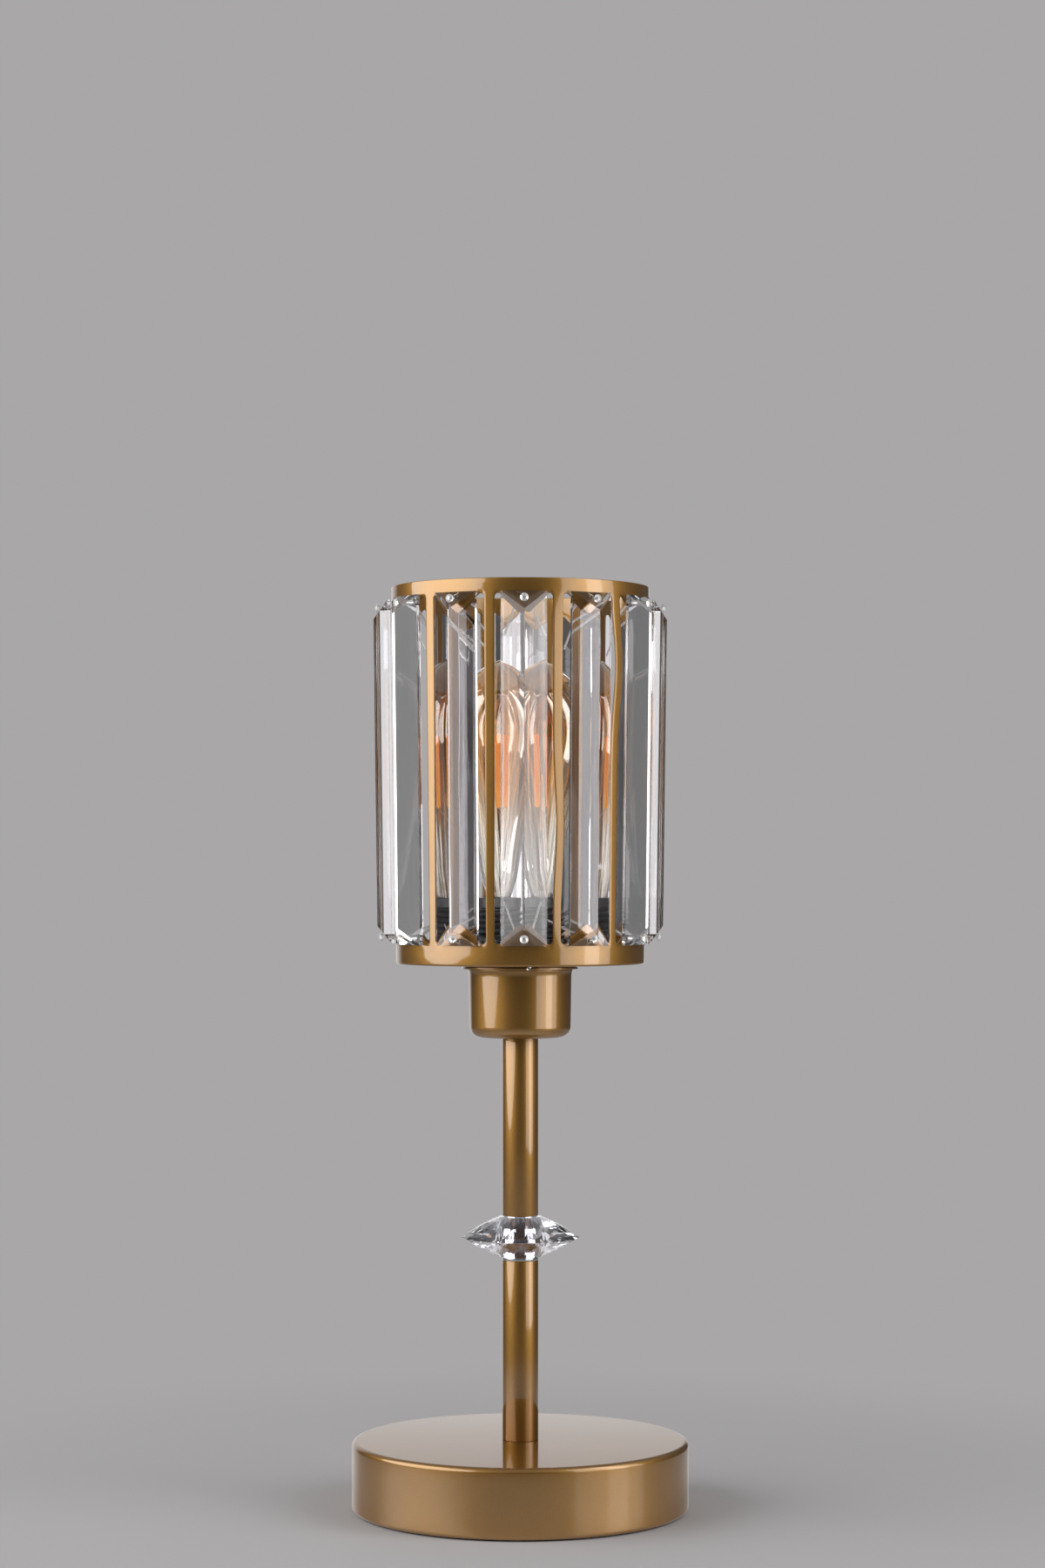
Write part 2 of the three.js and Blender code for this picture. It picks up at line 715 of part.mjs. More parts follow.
function shadeFrame() {
  const [foot, mouth] = [shadeBottomDiameter / 2, shadeTopDiameter / 2];
  const rim = shadeRimRadius;
  const drum = revolve(
    [
      [foot - shadeWall, shadeBottom],
      ...arc(foot - rim, shadeBottom + rim, rim, -90, 0, 1),
      [mouth, shadeTop],
      [mouth - shadeWall, shadeTop],
    ],
    shadeRound,
  );
  const reach = 4 * shadeWall; // the cutting shapes run this far inside and outside the wall
  const through = { depth: 2 * reach, bevelEnabled: false };
  const outwards = (geometry) =>
    geometry.rotateX(Math.PI / 2).translate(0, reach - shadeRadiusAt(windowMiddle), windowMiddle);
  const opening = () => outwards(new THREE.ExtrudeGeometry(shapeOf(windowOutline()), through));
  const pinHole = (height) =>
    outwards(cylinder(pinHoleRadius, 0, through.depth, wireRound).translate(0, height, 0));
  const cutters = Array.from({ length: windowCount }, (_, i) =>
    [opening(), pinHole(pinHeight), pinHole(-pinHeight)].map((cutter) => cutter.rotateZ(i * stationAngle)),
  ).flat();
  return cut(solid(drum), cutters);
}

function shadeFloor() {
  const hole = holderThreadDiameter / 2 + slipGap;
  const edge = shadeBottomDiameter / 2 - shadeWall - slipGap;
  return revolve(
    [
      [hole, shadeBottom],
      [edge, shadeBottom],
      [edge, floorTop],
      [hole, floorTop],
    ],
    shadeRound,
  );
}

// Glass bars and pins, drawn round the middle of the bar's flat back, outwards towards -Y

// Glass thickness under the sloped end facet, at a distance from the bar's end.
const facetDepth = (fromEnd) => barEdge + ((barThickness - barEdge) * fromEnd) / barFacetLength;

function glassBar() {
  const end = barLength / 2;
  const corners = [1, -1].flatMap((side) => [
    new THREE.Vector3(barWidth / 2, 0, side * end),
    new THREE.Vector3(-barWidth / 2, 0, side * end),
    new THREE.Vector3(barWidth / 2, -barEdge, side * end),
    new THREE.Vector3(-barWidth / 2, -barEdge, side * end),
    new THREE.Vector3(0, -barThickness, side * (end - barFacetLength)),
  ]);
  const drill = (height) =>
    cylinder(pinHoleRadius, -overcut, barThickness + overcut, holeRound)
      .rotateX(Math.PI / 2)
      .translate(0, 0, height);
  return cut(solid(new ConvexGeometry(corners)), [drill(pinHeight), drill(-pinHeight)]);
}

// Headed plastic pin: the head lies on the sloped facet, the shank goes through bar and tab, and the tail
// stands off inside the shade.
function glassPin(side, rise, sideways) {
  const slope = Math.atan((barThickness - barEdge) / barFacetLength);
  const headStand = (pinHeadThickness / 2 + restGap / 2) / Math.cos(slope);
  const headCentre = new THREE.Vector3(0, -facetDepth(pinInset) - headStand, side * pinHeight);
  const headRadius = pinHoleRadius + pinHeadOverlap;
  const head = new THREE.SphereGeometry(headRadius, 6, 4)
    .scale(1, pinHeadThickness / 2 / headRadius, 1)
    .rotateX(-side * slope)
    .translate(...headCentre.toArray());
  const [up, turn] = [rise, sideways].map(THREE.MathUtils.degToRad);
  const level = Math.cos(up);
  const heading = new THREE.Vector3(Math.sin(turn) * level, Math.cos(turn) * level, Math.sin(up));
  const bend = new THREE.Vector3(0, restGap + shadeWall + pinBend, side * pinHeight);
  const route = new THREE.CurvePath();
  const bendEnd = bend.clone().addScaledVector(heading, pinBend);
  route.add(new THREE.LineCurve3(headCentre, new THREE.Vector3(0, bend.y - pinBend, bend.z)));
  route.add(new THREE.QuadraticBezierCurve3(new THREE.Vector3(0, bend.y - pinBend, bend.z), bend, bendEnd));
  route.add(new THREE.LineCurve3(bendEnd, bend.clone().addScaledVector(heading, pinTail)));
  const section = shapeOf(arc(0, 0, pinDiameter / 2, 0, 288, 4));
  const shank = new THREE.ExtrudeGeometry(section, { steps: 6, bevelEnabled: false, extrudePath: route });
  return geometryOf(union([head, shank]));
}

// Bulb

// Glass outline from the cut edge at the neck to the top, as radius and height above the cap's tip.
function glassOutline() {
  const widest = bulbLength - bulbWidestBelowTop;
  const side = new THREE.SplineCurve(
    [
      [neckRadius, capLength],
      [shoulderDiameter / 2, shoulderHeight],
      [waistDiameter / 2, waistHeight],
      [bellyDiameter / 2, bellyHeight],
      [bulbDiameter / 2, widest],
    ].map(([radius, height]) => new THREE.Vector2(radius, height)),
  );
  const flank = side.getPoints(8).map(({ x, y }) => [x, y]);
  const dome = arc(0, 0, 1, 0, 90, 5).map(([x, y]) => [
    (x * bulbDiameter) / 2,
    widest + y * bulbWidestBelowTop,
  ]);
  return [[neckRadius, glassStart], ...flank, ...dome.slice(1)];
}

// Moves an outline inwards by a wall, square to the outline at each point.
function inset(outline, wall) {
  return outline.map(([radius, height], i) => {
    const [r0, h0] = outline[Math.max(i - 1, 0)];
    const [r1, h1] = outline[Math.min(i + 1, outline.length - 1)];
    const length = Math.hypot(r1 - r0, h1 - h0);
    return [Math.max(radius - (wall * (h1 - h0)) / length, 0), height + (wall * (r1 - r0)) / length];
  });
}

function bulbGlass() {
  const outer = glassOutline();
  const inner = inset(outer, glassWall);
  inner[0] = [outer[0][0] - glassWall, outer[0][1]];
  inner[inner.length - 1] = [0, bulbLength - glassWall];
  outer[outer.length - 1] = [0, bulbLength];
  const skin = [...inner.reverse(), ...outer];
  return revolve(skin, bulbRound).translate(0, 0, tipPlane);
}

// Screw cap with its glass insulator; the glass is cemented into the skirt.
function bulbCap() {
  const root = capThreadDiameter / 2 - capThreadDepth;
  const at = (radius, height) => plainRing(radius, tipPlane + height);
  const hollow = root - capWall;
  const threadTop = capThreadStart + capThreadLength;
  const thread = threadRings({
    ...capThread,
    crest: capThreadDiameter / 2,
    plain: root,
    from: tipPlane + capThreadStart,
    to: tipPlane + threadTop,
  });
  const floor = tipHeight + tipGap;
  return ringBody(
    [
      at(0, floor),
      at(tipDiameter / 2, floor),
      at(capInsulatorDiameter / 2, capThreadStart - capStep),
      at(root, capThreadStart),
      ...thread,
      at(capSkirtDiameter / 2, threadTop),
      at(capSkirtDiameter / 2, capLength),
      at(neckRadius + slipGap, capLength),
      at(neckRadius + slipGap, glassStart - slipGap),
      at(hollow, threadTop - capStep),
      at(hollow, capThreadStart + capWall),
      at(0, capThreadStart + capWall),
    ],
    threadRound,
  );
}

const bulbTip = () =>
  revolve(
    [
      [0, tipPlane],
      [tipDiameter / 2 - tipHeight / 2, tipPlane],
      [tipDiameter / 2, tipPlane + tipHeight / 2],
      [tipDiameter / 2, tipPlane + tipHeight],
      [0, tipPlane + tipHeight],
    ],
    smallRound,
  );

// Glass stem with its support wires and the lit strips, one fused mount inside the glass.
function filamentMount() {
  const stemRadius = stemDiameter / 2;
  const flareRadius = neckRadius - glassWall - slipGap;
  const widening = new THREE.QuadraticBezierCurve(
    new THREE.Vector2(flareRadius, glassStart + glassWall),
    new THREE.Vector2(stemRadius, glassStart + glassWall),
    new THREE.Vector2(stemRadius, glassStart + stemFlareLength),
  );
  const stem = revolve(
    [
      [0, glassStart],
      [flareRadius, glassStart],
      ...widening.getPoints(4).map(({ x, y }) => [x, y]),
      [stemRadius, stemTop],
      [0, stemTop],
    ],
    fineRound,
  );
  const axisPoint = (height) => new THREE.Vector3(0, 0, height);
  const root = axisPoint(stemTop - wireSunk);
  const stripFoot = stemTop + filamentGap;
  const stripHead = stripFoot + filamentLength;
  const meeting = axisPoint(stripHead + spiderRise);
  const lit = Array.from({ length: filamentCount }, (_, i) => {
    const angle = ((i + 0.5) * 2 * Math.PI) / filamentCount;
    const outwards = new THREE.Vector3(Math.cos(angle), Math.sin(angle), 0);
    const foot = axisPoint(stripFoot).addScaledVector(outwards, filamentFootRadius);
    const head = axisPoint(stripHead).addScaledVector(outwards, filamentHeadRadius);
    return [
      rodBetween(foot, head, filamentDiameter, wireRound),
      rodBetween(root, foot, wireDiameter, 4),
      rodBetween(head, meeting, wireDiameter, 4),
    ];
  }).flat();
  const post = rodBetween(root, meeting, wireDiameter, wireRound);
  return geometryOf(union([stem, post, ...lit])).translate(0, 0, tipPlane);
}

// Assembly

const lamp = new THREE.Group();

function place(name, geometry, finish, parent = lamp) {
  const { opacity = 1, ...look } = finishes[finish];
  const material = new THREE.MeshStandardMaterial({ ...look, opacity, transparent: opacity < 1 });
  const mesh = new THREE.Mesh(geometry, material);
  mesh.name = name;
  parent.add(mesh);
  return mesh;
}

place("base_pad", basePad(), "softPad");
place("base_weight", baseWeight(), "castIron");
place("base_shell", baseShell(), "goldPaint");
place("cord_grommet", cordGrommet(), "blackRubber");
place("base_nut", flangeNut(), "zincSteel");
place("threaded_rod", threadedRod(), "zincSteel");

place("stem_lower", stemTube(baseHeight, lowerTubeLength), "goldPaint");
place("disc_core", discCore(), "chrome");
place("crystal_disc", crystalDisc(), "cutGlass");
place("stem_upper", stemTube(coreTop, upperTubeLength), "goldPaint");

place("holder_cup", holderCup(), "goldPaint");
place("split_ring", splitRing(), "goldPaint");
place("holder_base", holderBase(), "bakelite");
place("holder_insert", holderInsert(), "bakelite");
place("centre_contact", centreContact(), "brass");
place("screw_sleeve", screwSleeve(), "brass");
place("holder_shell", holderShell(), "bakelite");

place("shade_floor", shadeFloor(), "goldPaint");
place("shade_frame", shadeFrame(), "goldPaint");
place("shade_ring", shadeRing(), "bakelite");

for (let i = 0; i < windowCount; i += 1) {
  const number = String(i + 1).padStart(2, "0");
  const station = new THREE.Group();
  station.rotation.z = i * stationAngle;
  const lean = new THREE.Group();
  lean.position.set(0, -shadeRadiusAt(windowMiddle) - restGap, windowMiddle);
  lean.rotation.x = flare;
  station.add(lean);
  lamp.add(station);
  place(`glass_bar_${number}`, glassBar(), "cutGlass", lean);
  const sideways = tailSideways * Math.sin(i * 2.4);
  place(`upper_pin_${number}`, glassPin(1, upperTails[i], sideways), "clearPlastic", lean);
  place(`lower_pin_${number}`, glassPin(-1, lowerTails[i], -sideways), "clearPlastic", lean);
}

place("bulb_tip", bulbTip(), "nickel");
place("bulb_cap", bulbCap(), "nickel");
place("filament_mount", filamentMount(), "glowStrip");
place("bulb_glass", bulbGlass(), "amberGlass");

export default lamp;
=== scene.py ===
import math

import bmesh
import bpy
import numpy as np
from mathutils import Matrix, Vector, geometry


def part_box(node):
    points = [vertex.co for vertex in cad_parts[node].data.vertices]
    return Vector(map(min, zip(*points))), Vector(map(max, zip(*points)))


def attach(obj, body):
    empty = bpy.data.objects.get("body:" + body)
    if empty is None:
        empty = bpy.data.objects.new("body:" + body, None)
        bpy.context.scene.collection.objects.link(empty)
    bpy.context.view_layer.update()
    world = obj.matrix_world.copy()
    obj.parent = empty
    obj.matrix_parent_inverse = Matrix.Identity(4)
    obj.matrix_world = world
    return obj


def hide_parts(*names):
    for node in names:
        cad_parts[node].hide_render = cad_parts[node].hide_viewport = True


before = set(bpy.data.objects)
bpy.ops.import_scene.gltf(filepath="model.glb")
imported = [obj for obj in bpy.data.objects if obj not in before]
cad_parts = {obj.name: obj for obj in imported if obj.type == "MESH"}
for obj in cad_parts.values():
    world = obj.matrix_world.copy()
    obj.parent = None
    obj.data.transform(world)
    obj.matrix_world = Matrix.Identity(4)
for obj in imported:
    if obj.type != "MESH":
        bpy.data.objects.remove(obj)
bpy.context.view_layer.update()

MM = 0.001

# Camera: level, 1.5 m from the lamp and 284 mm above the table, a little to the left of the lamp's front.
# The picture is 1200 x 1800, and the lamp's axis stands left of its middle and below it.
camera_distance = 1.51
camera_height = 0.284
camera_turn = math.radians(-1.5)
picture_height = 1800
axis_left_px = 2.5
horizon_below_px = 102

camera_data = bpy.data.cameras.new("camera")
camera_data.sensor_fit = "VERTICAL"
camera_data.sensor_height = 36
camera_data.lens = 77.7
camera_data.shift_x = axis_left_px / picture_height
camera_data.shift_y = horizon_below_px / picture_height
camera = bpy.data.objects.new("camera", camera_data)
camera.location = (
    camera_distance * math.sin(camera_turn),
    -camera_distance * math.cos(camera_turn),
    camera_height,
)
camera.rotation_euler = (math.radians(90), 0, camera_turn)
scene = bpy.context.scene
scene.collection.objects.link(camera)
scene.camera = camera
scene.view_settings.view_transform = "Standard"
scene.cycles.max_bounces = 24
scene.cycles.transmission_bounces = 24
scene.cycles.transparent_max_bounces = 24


# Studio: a plain grey behind the lamp where the camera looks straight at it. For reflections and for what is
# seen through glass, the room has a white backdrop behind the lamp, a little to the left, dim sides, a darker
# front, a grey ground beyond the floor sheet and a grey ceiling.
def linear(code):
    """Red, green and blue of an sRGB hex code as linear light, with alpha 1."""
    shares = np.array([int(code[i : i + 2], 16) for i in (0, 2, 4)]) / 255
    light = np.where(shares <= 0.04045, shares / 12.92, ((shares + 0.055) / 1.055) ** 2.4)
    return (*light.tolist(), 1.0)


def add(tree, kind, sockets=None, **settings):
    """Adds a shader node of a kind with its settings; each input socket named in `sockets` gets a link or a
    plain value."""
    made = tree.nodes.new(f"ShaderNode{kind}")
    for name, value in settings.items():
        setattr(made, name, value)
    for name, value in (sockets or {}).items():
        if isinstance(value, bpy.types.NodeSocket):
            tree.links.new(value, made.inputs[name])
        else:
            made.inputs[name].default_value = value
    return made


backdrop_grey = linear("A9A7A8")
backdrop_light = 0.84
backdrop_turn = math.radians(9)
side_light = 0.08
front_share = 0.5
ground_light = 0.35
ceiling_light = 0.34

world = bpy.data.worlds.new("studio")
world.use_nodes = True
scene.world = world
sky = world.node_tree
sky.nodes.clear()

ray = add(sky, "TexCoord").outputs["Generated"]
rise = add(sky, "SeparateXYZ", {0: ray}).outputs["Z"]
flat_ray = add(sky, "VectorMath", {0: ray, 1: (1, 1, 0)}, operation="MULTIPLY").outputs[0]
bearing = add(sky, "VectorMath", {0: flat_ray}, operation="NORMALIZE").outputs[0]
to_backdrop = (-math.sin(backdrop_turn), math.cos(backdrop_turn), 0)
towards_back = add(sky, "VectorMath", {0: bearing, 1: to_backdrop}, operation="DOT_PRODUCT")
towards_back = towards_back.outputs["Value"]

# Smooth steps of the room's light: what each follows, where it starts and ends, its value before and after.
steps = {
    "behind": (towards_back, 0.87, 0.98, side_light, backdrop_light),
    "ahead": (towards_back, -0.4, 0.3, front_share, 1.0),
    "below": (rise, -0.28, -0.1, 1.0, 0.0),
    "above": (rise, 0.2, 0.75, 0.0, 1.0),
}
share = {
    name: add(
        sky,
        "MapRange",
        {"Value": value, "From Min": start, "From Max": end, "To Min": before, "To Max": after},
        interpolation_type="SMOOTHSTEP",
    ).outputs[0]
    for name, (value, start, end, before, after) in steps.items()
}
walls = add(sky, "Math", {0: share["behind"], 1: share["ahead"]}, operation="MULTIPLY")
floored = add(sky, "Mix", {"Factor": share["below"], "A": walls.outputs[0], "B": ground_light})
roofed = add(sky, "Mix", {"Factor": share["above"], "A": floored.outputs[0], "B": ceiling_light})
room = add(sky, "Background", {"Color": linear("FFFFFF"), "Strength": roofed.outputs[0]})
plain = add(sky, "Background", {"Color": backdrop_grey, "Strength": 1.0})
camera_ray = add(sky, "LightPath").outputs["Is Camera Ray"]
seen = add(sky, "MixShader", {0: camera_ray, 1: room.outputs[0], 2: plain.outputs[0]})
add(sky, "OutputWorld", {"Surface": seen.outputs[0]})

# A round softbox on the left and a square one on the right, a little in front of the lamp, and in the right
# one the bright strip of its tube. Values: outline, bearing from the front in degrees, distance, width,
# lowest edge and highest edge in metres, and radiance.
softboxes = {
    "left": ("ELLIPSE", -73, 1.10, 1.9, 0.08, 1.4, 3.5),
    "right": ("RECTANGLE", 61, 1.10, 1.1, 0.0, 1.6, 2.2),
    "right_tube": ("RECTANGLE", 66, 1.05, 0.3, 0.0, 1.5, 2.4),
}
for name, (outline, turn, distance, width, low, high, radiance) in softboxes.items():
    lamp_data = bpy.data.lights.new(f"softbox_{name}", "AREA")
    lamp_data.shape = outline
    lamp_data.size = width
    lamp_data.size_y = high - low
    area = width * (high - low) * (math.pi / 4 if outline == "ELLIPSE" else 1)
    lamp_data.energy = radiance * math.pi * area
    softbox = bpy.data.objects.new(f"softbox_{name}", lamp_data)
    turn = math.radians(turn)
    softbox.location = (distance * math.sin(turn), -distance * math.cos(turn), (low + high) / 2)
    softbox.rotation_euler = (math.radians(90), 0, turn)
    softbox.visible_camera = False
    scene.collection.objects.link(softbox)


# Floor: a sheet of satin paper that takes the lamp's soft shadow and fades into the grey further out, so that
# no horizon shows. Reflections see the sheet paler and glossier, and fading into the room. Its fine grain is
# drawn several times as coarse as it is.
def around(radius, angle, height):
    """Points round +Z: x = radius cos angle, y = radius sin angle, z = height."""
    return np.stack(np.broadcast_arrays(radius * np.cos(angle), radius * np.sin(angle), height), axis=-1)


def surface(points, close_rows=False, close_columns=False):
    """Skin over a grid of points: one list of the points, and the quads between them. A closed direction
    joins its last line to its first."""
    rows, columns = points.shape[:2]
    row = np.arange(rows if close_rows else rows - 1)[:, None]
    column = np.arange(columns if close_columns else columns - 1)
    next_row, next_column = (row + 1) % rows, (column + 1) % columns
    corners = (
        row * columns + column,
        row * columns + next_column,
        next_row * columns + next_column,
        next_row * columns + column,
    )
    return points.reshape(-1, 3), np.stack(corners, axis=-1).reshape(-1, 4)


def turned(outline, turns=96, closed=True):
    """Surface of revolution: each [radius, height] of the outline goes round +Z, and a radius may be an array
    of one value for each step of the turn. A closed outline joins its last point to its first."""
    radius = np.array([np.broadcast_to(row, turns) for row, _ in outline])
    height = np.array([[level] for _, level in outline])
    return surface(around(radius, 2 * np.pi * np.arange(turns) / turns, height), closed, True)


def made_mesh(name, surfaces, sharp):
    """Mesh of several surfaces, each (points in mm, faces): what meets is merged, the faces are turned
    outwards, and edges steeper than `sharp` degrees stay sharp."""
    starts = np.cumsum([0] + [len(points) for points, _ in surfaces])
    polygons = [face for start, (_, faces) in zip(starts, surfaces) for face in (faces + start).tolist()]
    mesh = bpy.data.meshes.new(name)
    mesh.from_pydata(np.concatenate([points for points, _ in surfaces]) * MM, [], polygons)
    skin = bmesh.new()
    skin.from_mesh(mesh)
    bmesh.ops.remove_doubles(skin, verts=skin.verts, dist=2e-6)
    bmesh.ops.dissolve_degenerate(skin, edges=skin.edges, dist=1e-7)
    bmesh.ops.recalc_face_normals(skin, faces=skin.faces)
    skin.to_mesh(mesh)
    skin.free()
    mesh.shade_smooth()
    mesh.set_sharp_from_angle(angle=math.radians(sharp))
    return mesh


def material(name, **numbers):
    """New material with one Principled shader. Keywords are its sockets, with _ for a space; the shader,
    its node tree and the object's coordinates are returned with it."""
    made = bpy.data.materials.new(name)
    made.use_nodes = True
    tree = made.node_tree
    shader = tree.nodes["Principled BSDF"]
    for socket, value in numbers.items():
        shader.inputs[socket.replace("_", " ")].default_value = value
    return made, tree, shader, add(tree, "TexCoord").outputs["Object"]


def per_mm(length):
    """Scale of a pattern whose marks are this many millimetres across."""
    return 1 / (length * MM)


def mottle(tree, place, mark, dark, light, detail=2.0):
    """Noise with marks `mark` millimetres across, and a tone that follows it from dark to light."""
    noise = add(tree, "TexNoise", {"Vector": place, "Scale": per_mm(mark), "Detail": detail})
    noise = noise.outputs["Fac"]
    tone = add(tree, "Mix", {"Factor": noise, 6: linear(dark), 7: linear(light)}, data_type="RGBA")
    return noise, tone.outputs[2]


floor_radius = 620
floor_level = -0.01  # just under the lamp's pad, in millimetres
floor_fade_start = 0.14
floor_fade_end = 0.46
paper_grain = 5 / 3

floor_paper, tree, shader, place = material("satin_paper", Specular_IOR_Level=0.4)
camera_ray = add(tree, "LightPath").outputs["Is Camera Ray"]
_, seen_tone = mottle(tree, place, paper_grain, "A4A2A3", "A8A6A7", 3.0)
tone = add(tree, "Mix", {"Factor": camera_ray, 6: linear("DEDCDB"), 7: seen_tone}, data_type="RGBA")
tree.links.new(tone.outputs[2], shader.inputs["Base Color"])
satin = add(tree, "MapRange", {"Value": camera_ray, "To Min": 0.26, "To Max": 0.9})
tree.links.new(satin.outputs[0], shader.inputs["Roughness"])
reach = add(tree, "VectorMath", {0: place}, operation="LENGTH")
fading = {"Value": reach.outputs["Value"], "From Min": floor_fade_start, "From Max": floor_fade_end}
fade = add(tree, "MapRange", fading, interpolation_type="SMOOTHSTEP")
far_grey = add(tree, "Emission", {"Color": backdrop_grey, "Strength": 1.0})
clear = add(tree, "BsdfTransparent")
beyond = add(tree, "MixShader", {0: camera_ray, 1: clear.outputs[0], 2: far_grey.outputs[0]})
faded = add(tree, "MixShader", {0: fade.outputs[0], 1: shader.outputs[0], 2: beyond.outputs[0]})
tree.links.new(faded.outputs[0], tree.nodes["Material Output"].inputs["Surface"])
floor_outline = [[0, floor_level], [floor_radius, floor_level]]
floor_mesh = made_mesh("floor", [turned(floor_outline, closed=False)], 30)
floor_mesh.materials.append(floor_paper)
floor_sheet = bpy.data.objects.new("floor", floor_mesh)
scene.collection.objects.link(floor_sheet)


# Base: a steel drum pressed with a round top edge and a rolled hem, sprayed with gold metallic lacquer. It
# stands on a die-cut foam pad and has a rubber bush for the cord at the back.
def size(node):
    """Lowest and highest corner of a CAD node in millimetres."""
    low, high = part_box(node)
    return np.array(low) / MM, np.array(high) / MM


def joined(*runs):
    """One run of points from several."""
    return np.concatenate(runs)


def arc(x, y, radius, start, end, steps):
    """Points on an arc round (x, y), from one angle to another in degrees."""
    angle = np.radians(np.linspace(start, end, steps + 1))
    return np.stack([x + radius * np.cos(angle), y + radius * np.sin(angle)], axis=-1)


def rounded(outer, foot, head, edge, steps=3):
    """Side of a turned piece from foot to head, with its lower and upper edge rounded."""
    lower = arc(outer - edge, foot + edge, edge, -90, 0, steps)
    return joined(lower, arc(outer - edge, head - edge, edge, 0, 90, steps))


def tube(inner, outer, foot, head, edge):
    """Outline of a tube whose outer edges are rounded, or of a disc where the inner radius is 0."""
    return joined([[inner, foot]], rounded(outer, foot, head, edge), [[inner, head]])


def piece(name, surfaces, finish, slot, *stands_for, body="root", sharp=35):
    """Finished piece of the lamp: its mesh, material, body and the CAD nodes it stands for. The slot is not
    used.
    """
    mesh = made_mesh(name, surfaces, sharp)
    mesh.materials.append(finish)
    made = bpy.data.objects.new(name, mesh)
    scene.collection.objects.link(made)
    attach(made, body)
    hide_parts(*stands_for)
    return made


def mottled(name, mark, dark, light, detail=2.0, gloss=None, relief=None, **numbers):
    """Material with a mottled tone. The same noise spreads its roughness over the two values of `gloss`, and
    lifts its surface by `relief`, which is a strength and a height in millimetres."""
    made, tree, shader, place = material(name, **numbers)
    noise, tone = mottle(tree, place, mark, dark, light, detail)
    tree.links.new(tone, shader.inputs["Base Color"])
    if gloss:
        rough = add(tree, "MapRange", {"Value": noise, "To Min": gloss[0], "To Max": gloss[1]})
        tree.links.new(rough.outputs[0], shader.inputs["Roughness"])
    if relief:
        lift = {"Height": noise, "Strength": relief[0], "Distance": relief[1] * MM}
        tree.links.new(add(tree, "Bump", lift).outputs[0], shader.inputs["Normal"])
    return made


# Gold metallic lacquer: leafing flakes under a clear coat, sprayed and baked. The flakes are about 0.03 mm
# and are drawn ten times as coarse so that they show. The clear coat has a faint orange peel.
lacquer, tree, shader, place = material(
    "gold_metallic_lacquer",
    Metallic=0.9,
    Specular_Tint=linear("C9AE98"),
    Coat_Weight=1.0,
    Coat_Roughness=0.07,
    Coat_IOR=1.6,
)
flakes, flake_tone = mottle(tree, place, 0.35, "84622D", "A57B3F")
_, cloud_tone = mottle(tree, place, 22, "E9E4DC", "FFFFFF")
both_tones = {"Factor": 1.0, 6: flake_tone, 7: cloud_tone}
gold = add(tree, "Mix", both_tones, data_type="RGBA", blend_type="MULTIPLY")
tree.links.new(gold.outputs[2], shader.inputs["Base Color"])
gloss = add(tree, "MapRange", {"Value": flakes, "To Min": 0.36, "To Max": 0.46})
tree.links.new(gloss.outputs[0], shader.inputs["Roughness"])
peel = add(tree, "TexNoise", {"Vector": place, "Scale": per_mm(1.6), "Detail": 1.0})
orange_peel = {"Height": peel.outputs["Fac"], "Strength": 0.25, "Distance": 0.01 * MM}
tree.links.new(add(tree, "Bump", orange_peel).outputs[0], shader.inputs["Coat Normal"])

rod_hole = 5.2
base_wall = 1.0
base_edge = 2.4
hem = 2.0
base_low, base_high = size("base_shell")
base_radius, base_top = base_high[0], base_high[2]
base_turns = 192
wall_foot = base_low[2] + hem
wall_head = base_top - base_edge
wall_rows = 6

outlet_hole = 5.3
outlet_height = 10.0
patch_columns = 4  # columns of the drum's grid on each side of the outlet that make room for it
patch_rings = 5
patch_crowding = 0.7  # under 1, so that the rings stand closer together towards the hole

edge_middle = (base_radius - base_edge, wall_head)
hem_middle = (base_radius - hem, wall_foot)
top_plate = joined(
    arc(*edge_middle, base_edge, 0, 90, 12),
    [[rod_hole, base_top], [rod_hole, base_top - base_wall]],
    arc(*edge_middle, base_edge - base_wall, 90, 0, 8),
)
rolled_hem = joined(arc(*hem_middle, hem, 0, -90, 10), arc(*hem_middle, hem - base_wall, -90, 0, 6))


def wall_point(station, across, height, radius):
    """Point on a round wall, `across` millimetres beside a station's direction:
    its angle is station + asin(across / radius)."""
    return around(radius, station + np.arcsin(across / radius), height)


def drilled_wall(radius):
    """Upright wall of the drum as a grid of angle and height, less the cells round the outlet, and the ring
    of cells that runs from that gap's border to the round hole at the back."""
    back = np.pi / 2
    heights = np.linspace(wall_foot, wall_head, wall_rows + 1)
    angles = back + 2 * np.pi * (np.arange(base_turns) - patch_columns) / base_turns
    wall, faces = surface(around(radius, angles, heights[:, None]), close_columns=True)
    kept = faces[:, 0] % base_turns >= 2 * patch_columns
    side = np.sin(2 * np.pi * np.arange(-patch_columns, patch_columns + 1) / base_turns) * radius
    cells = np.stack(np.meshgrid(side, heights), axis=-1)
    border = joined(cells[0, :-1], cells[:-1, -1], cells[-1, :0:-1], cells[:0:-1, 0])
    ray = border - [0, outlet_height]
    rim = [0, outlet_height] + outlet_hole * ray / np.linalg.norm(ray, axis=1, keepdims=True)
    share = np.linspace(0, 1, patch_rings)[:, None, None] ** patch_crowding
    across, level = np.moveaxis(border + (rim - border) * share, -1, 0)
    patch = wall_point(back, -across, level, radius)
    return (wall, faces[kept]), surface(patch, close_columns=True), patch[-1]


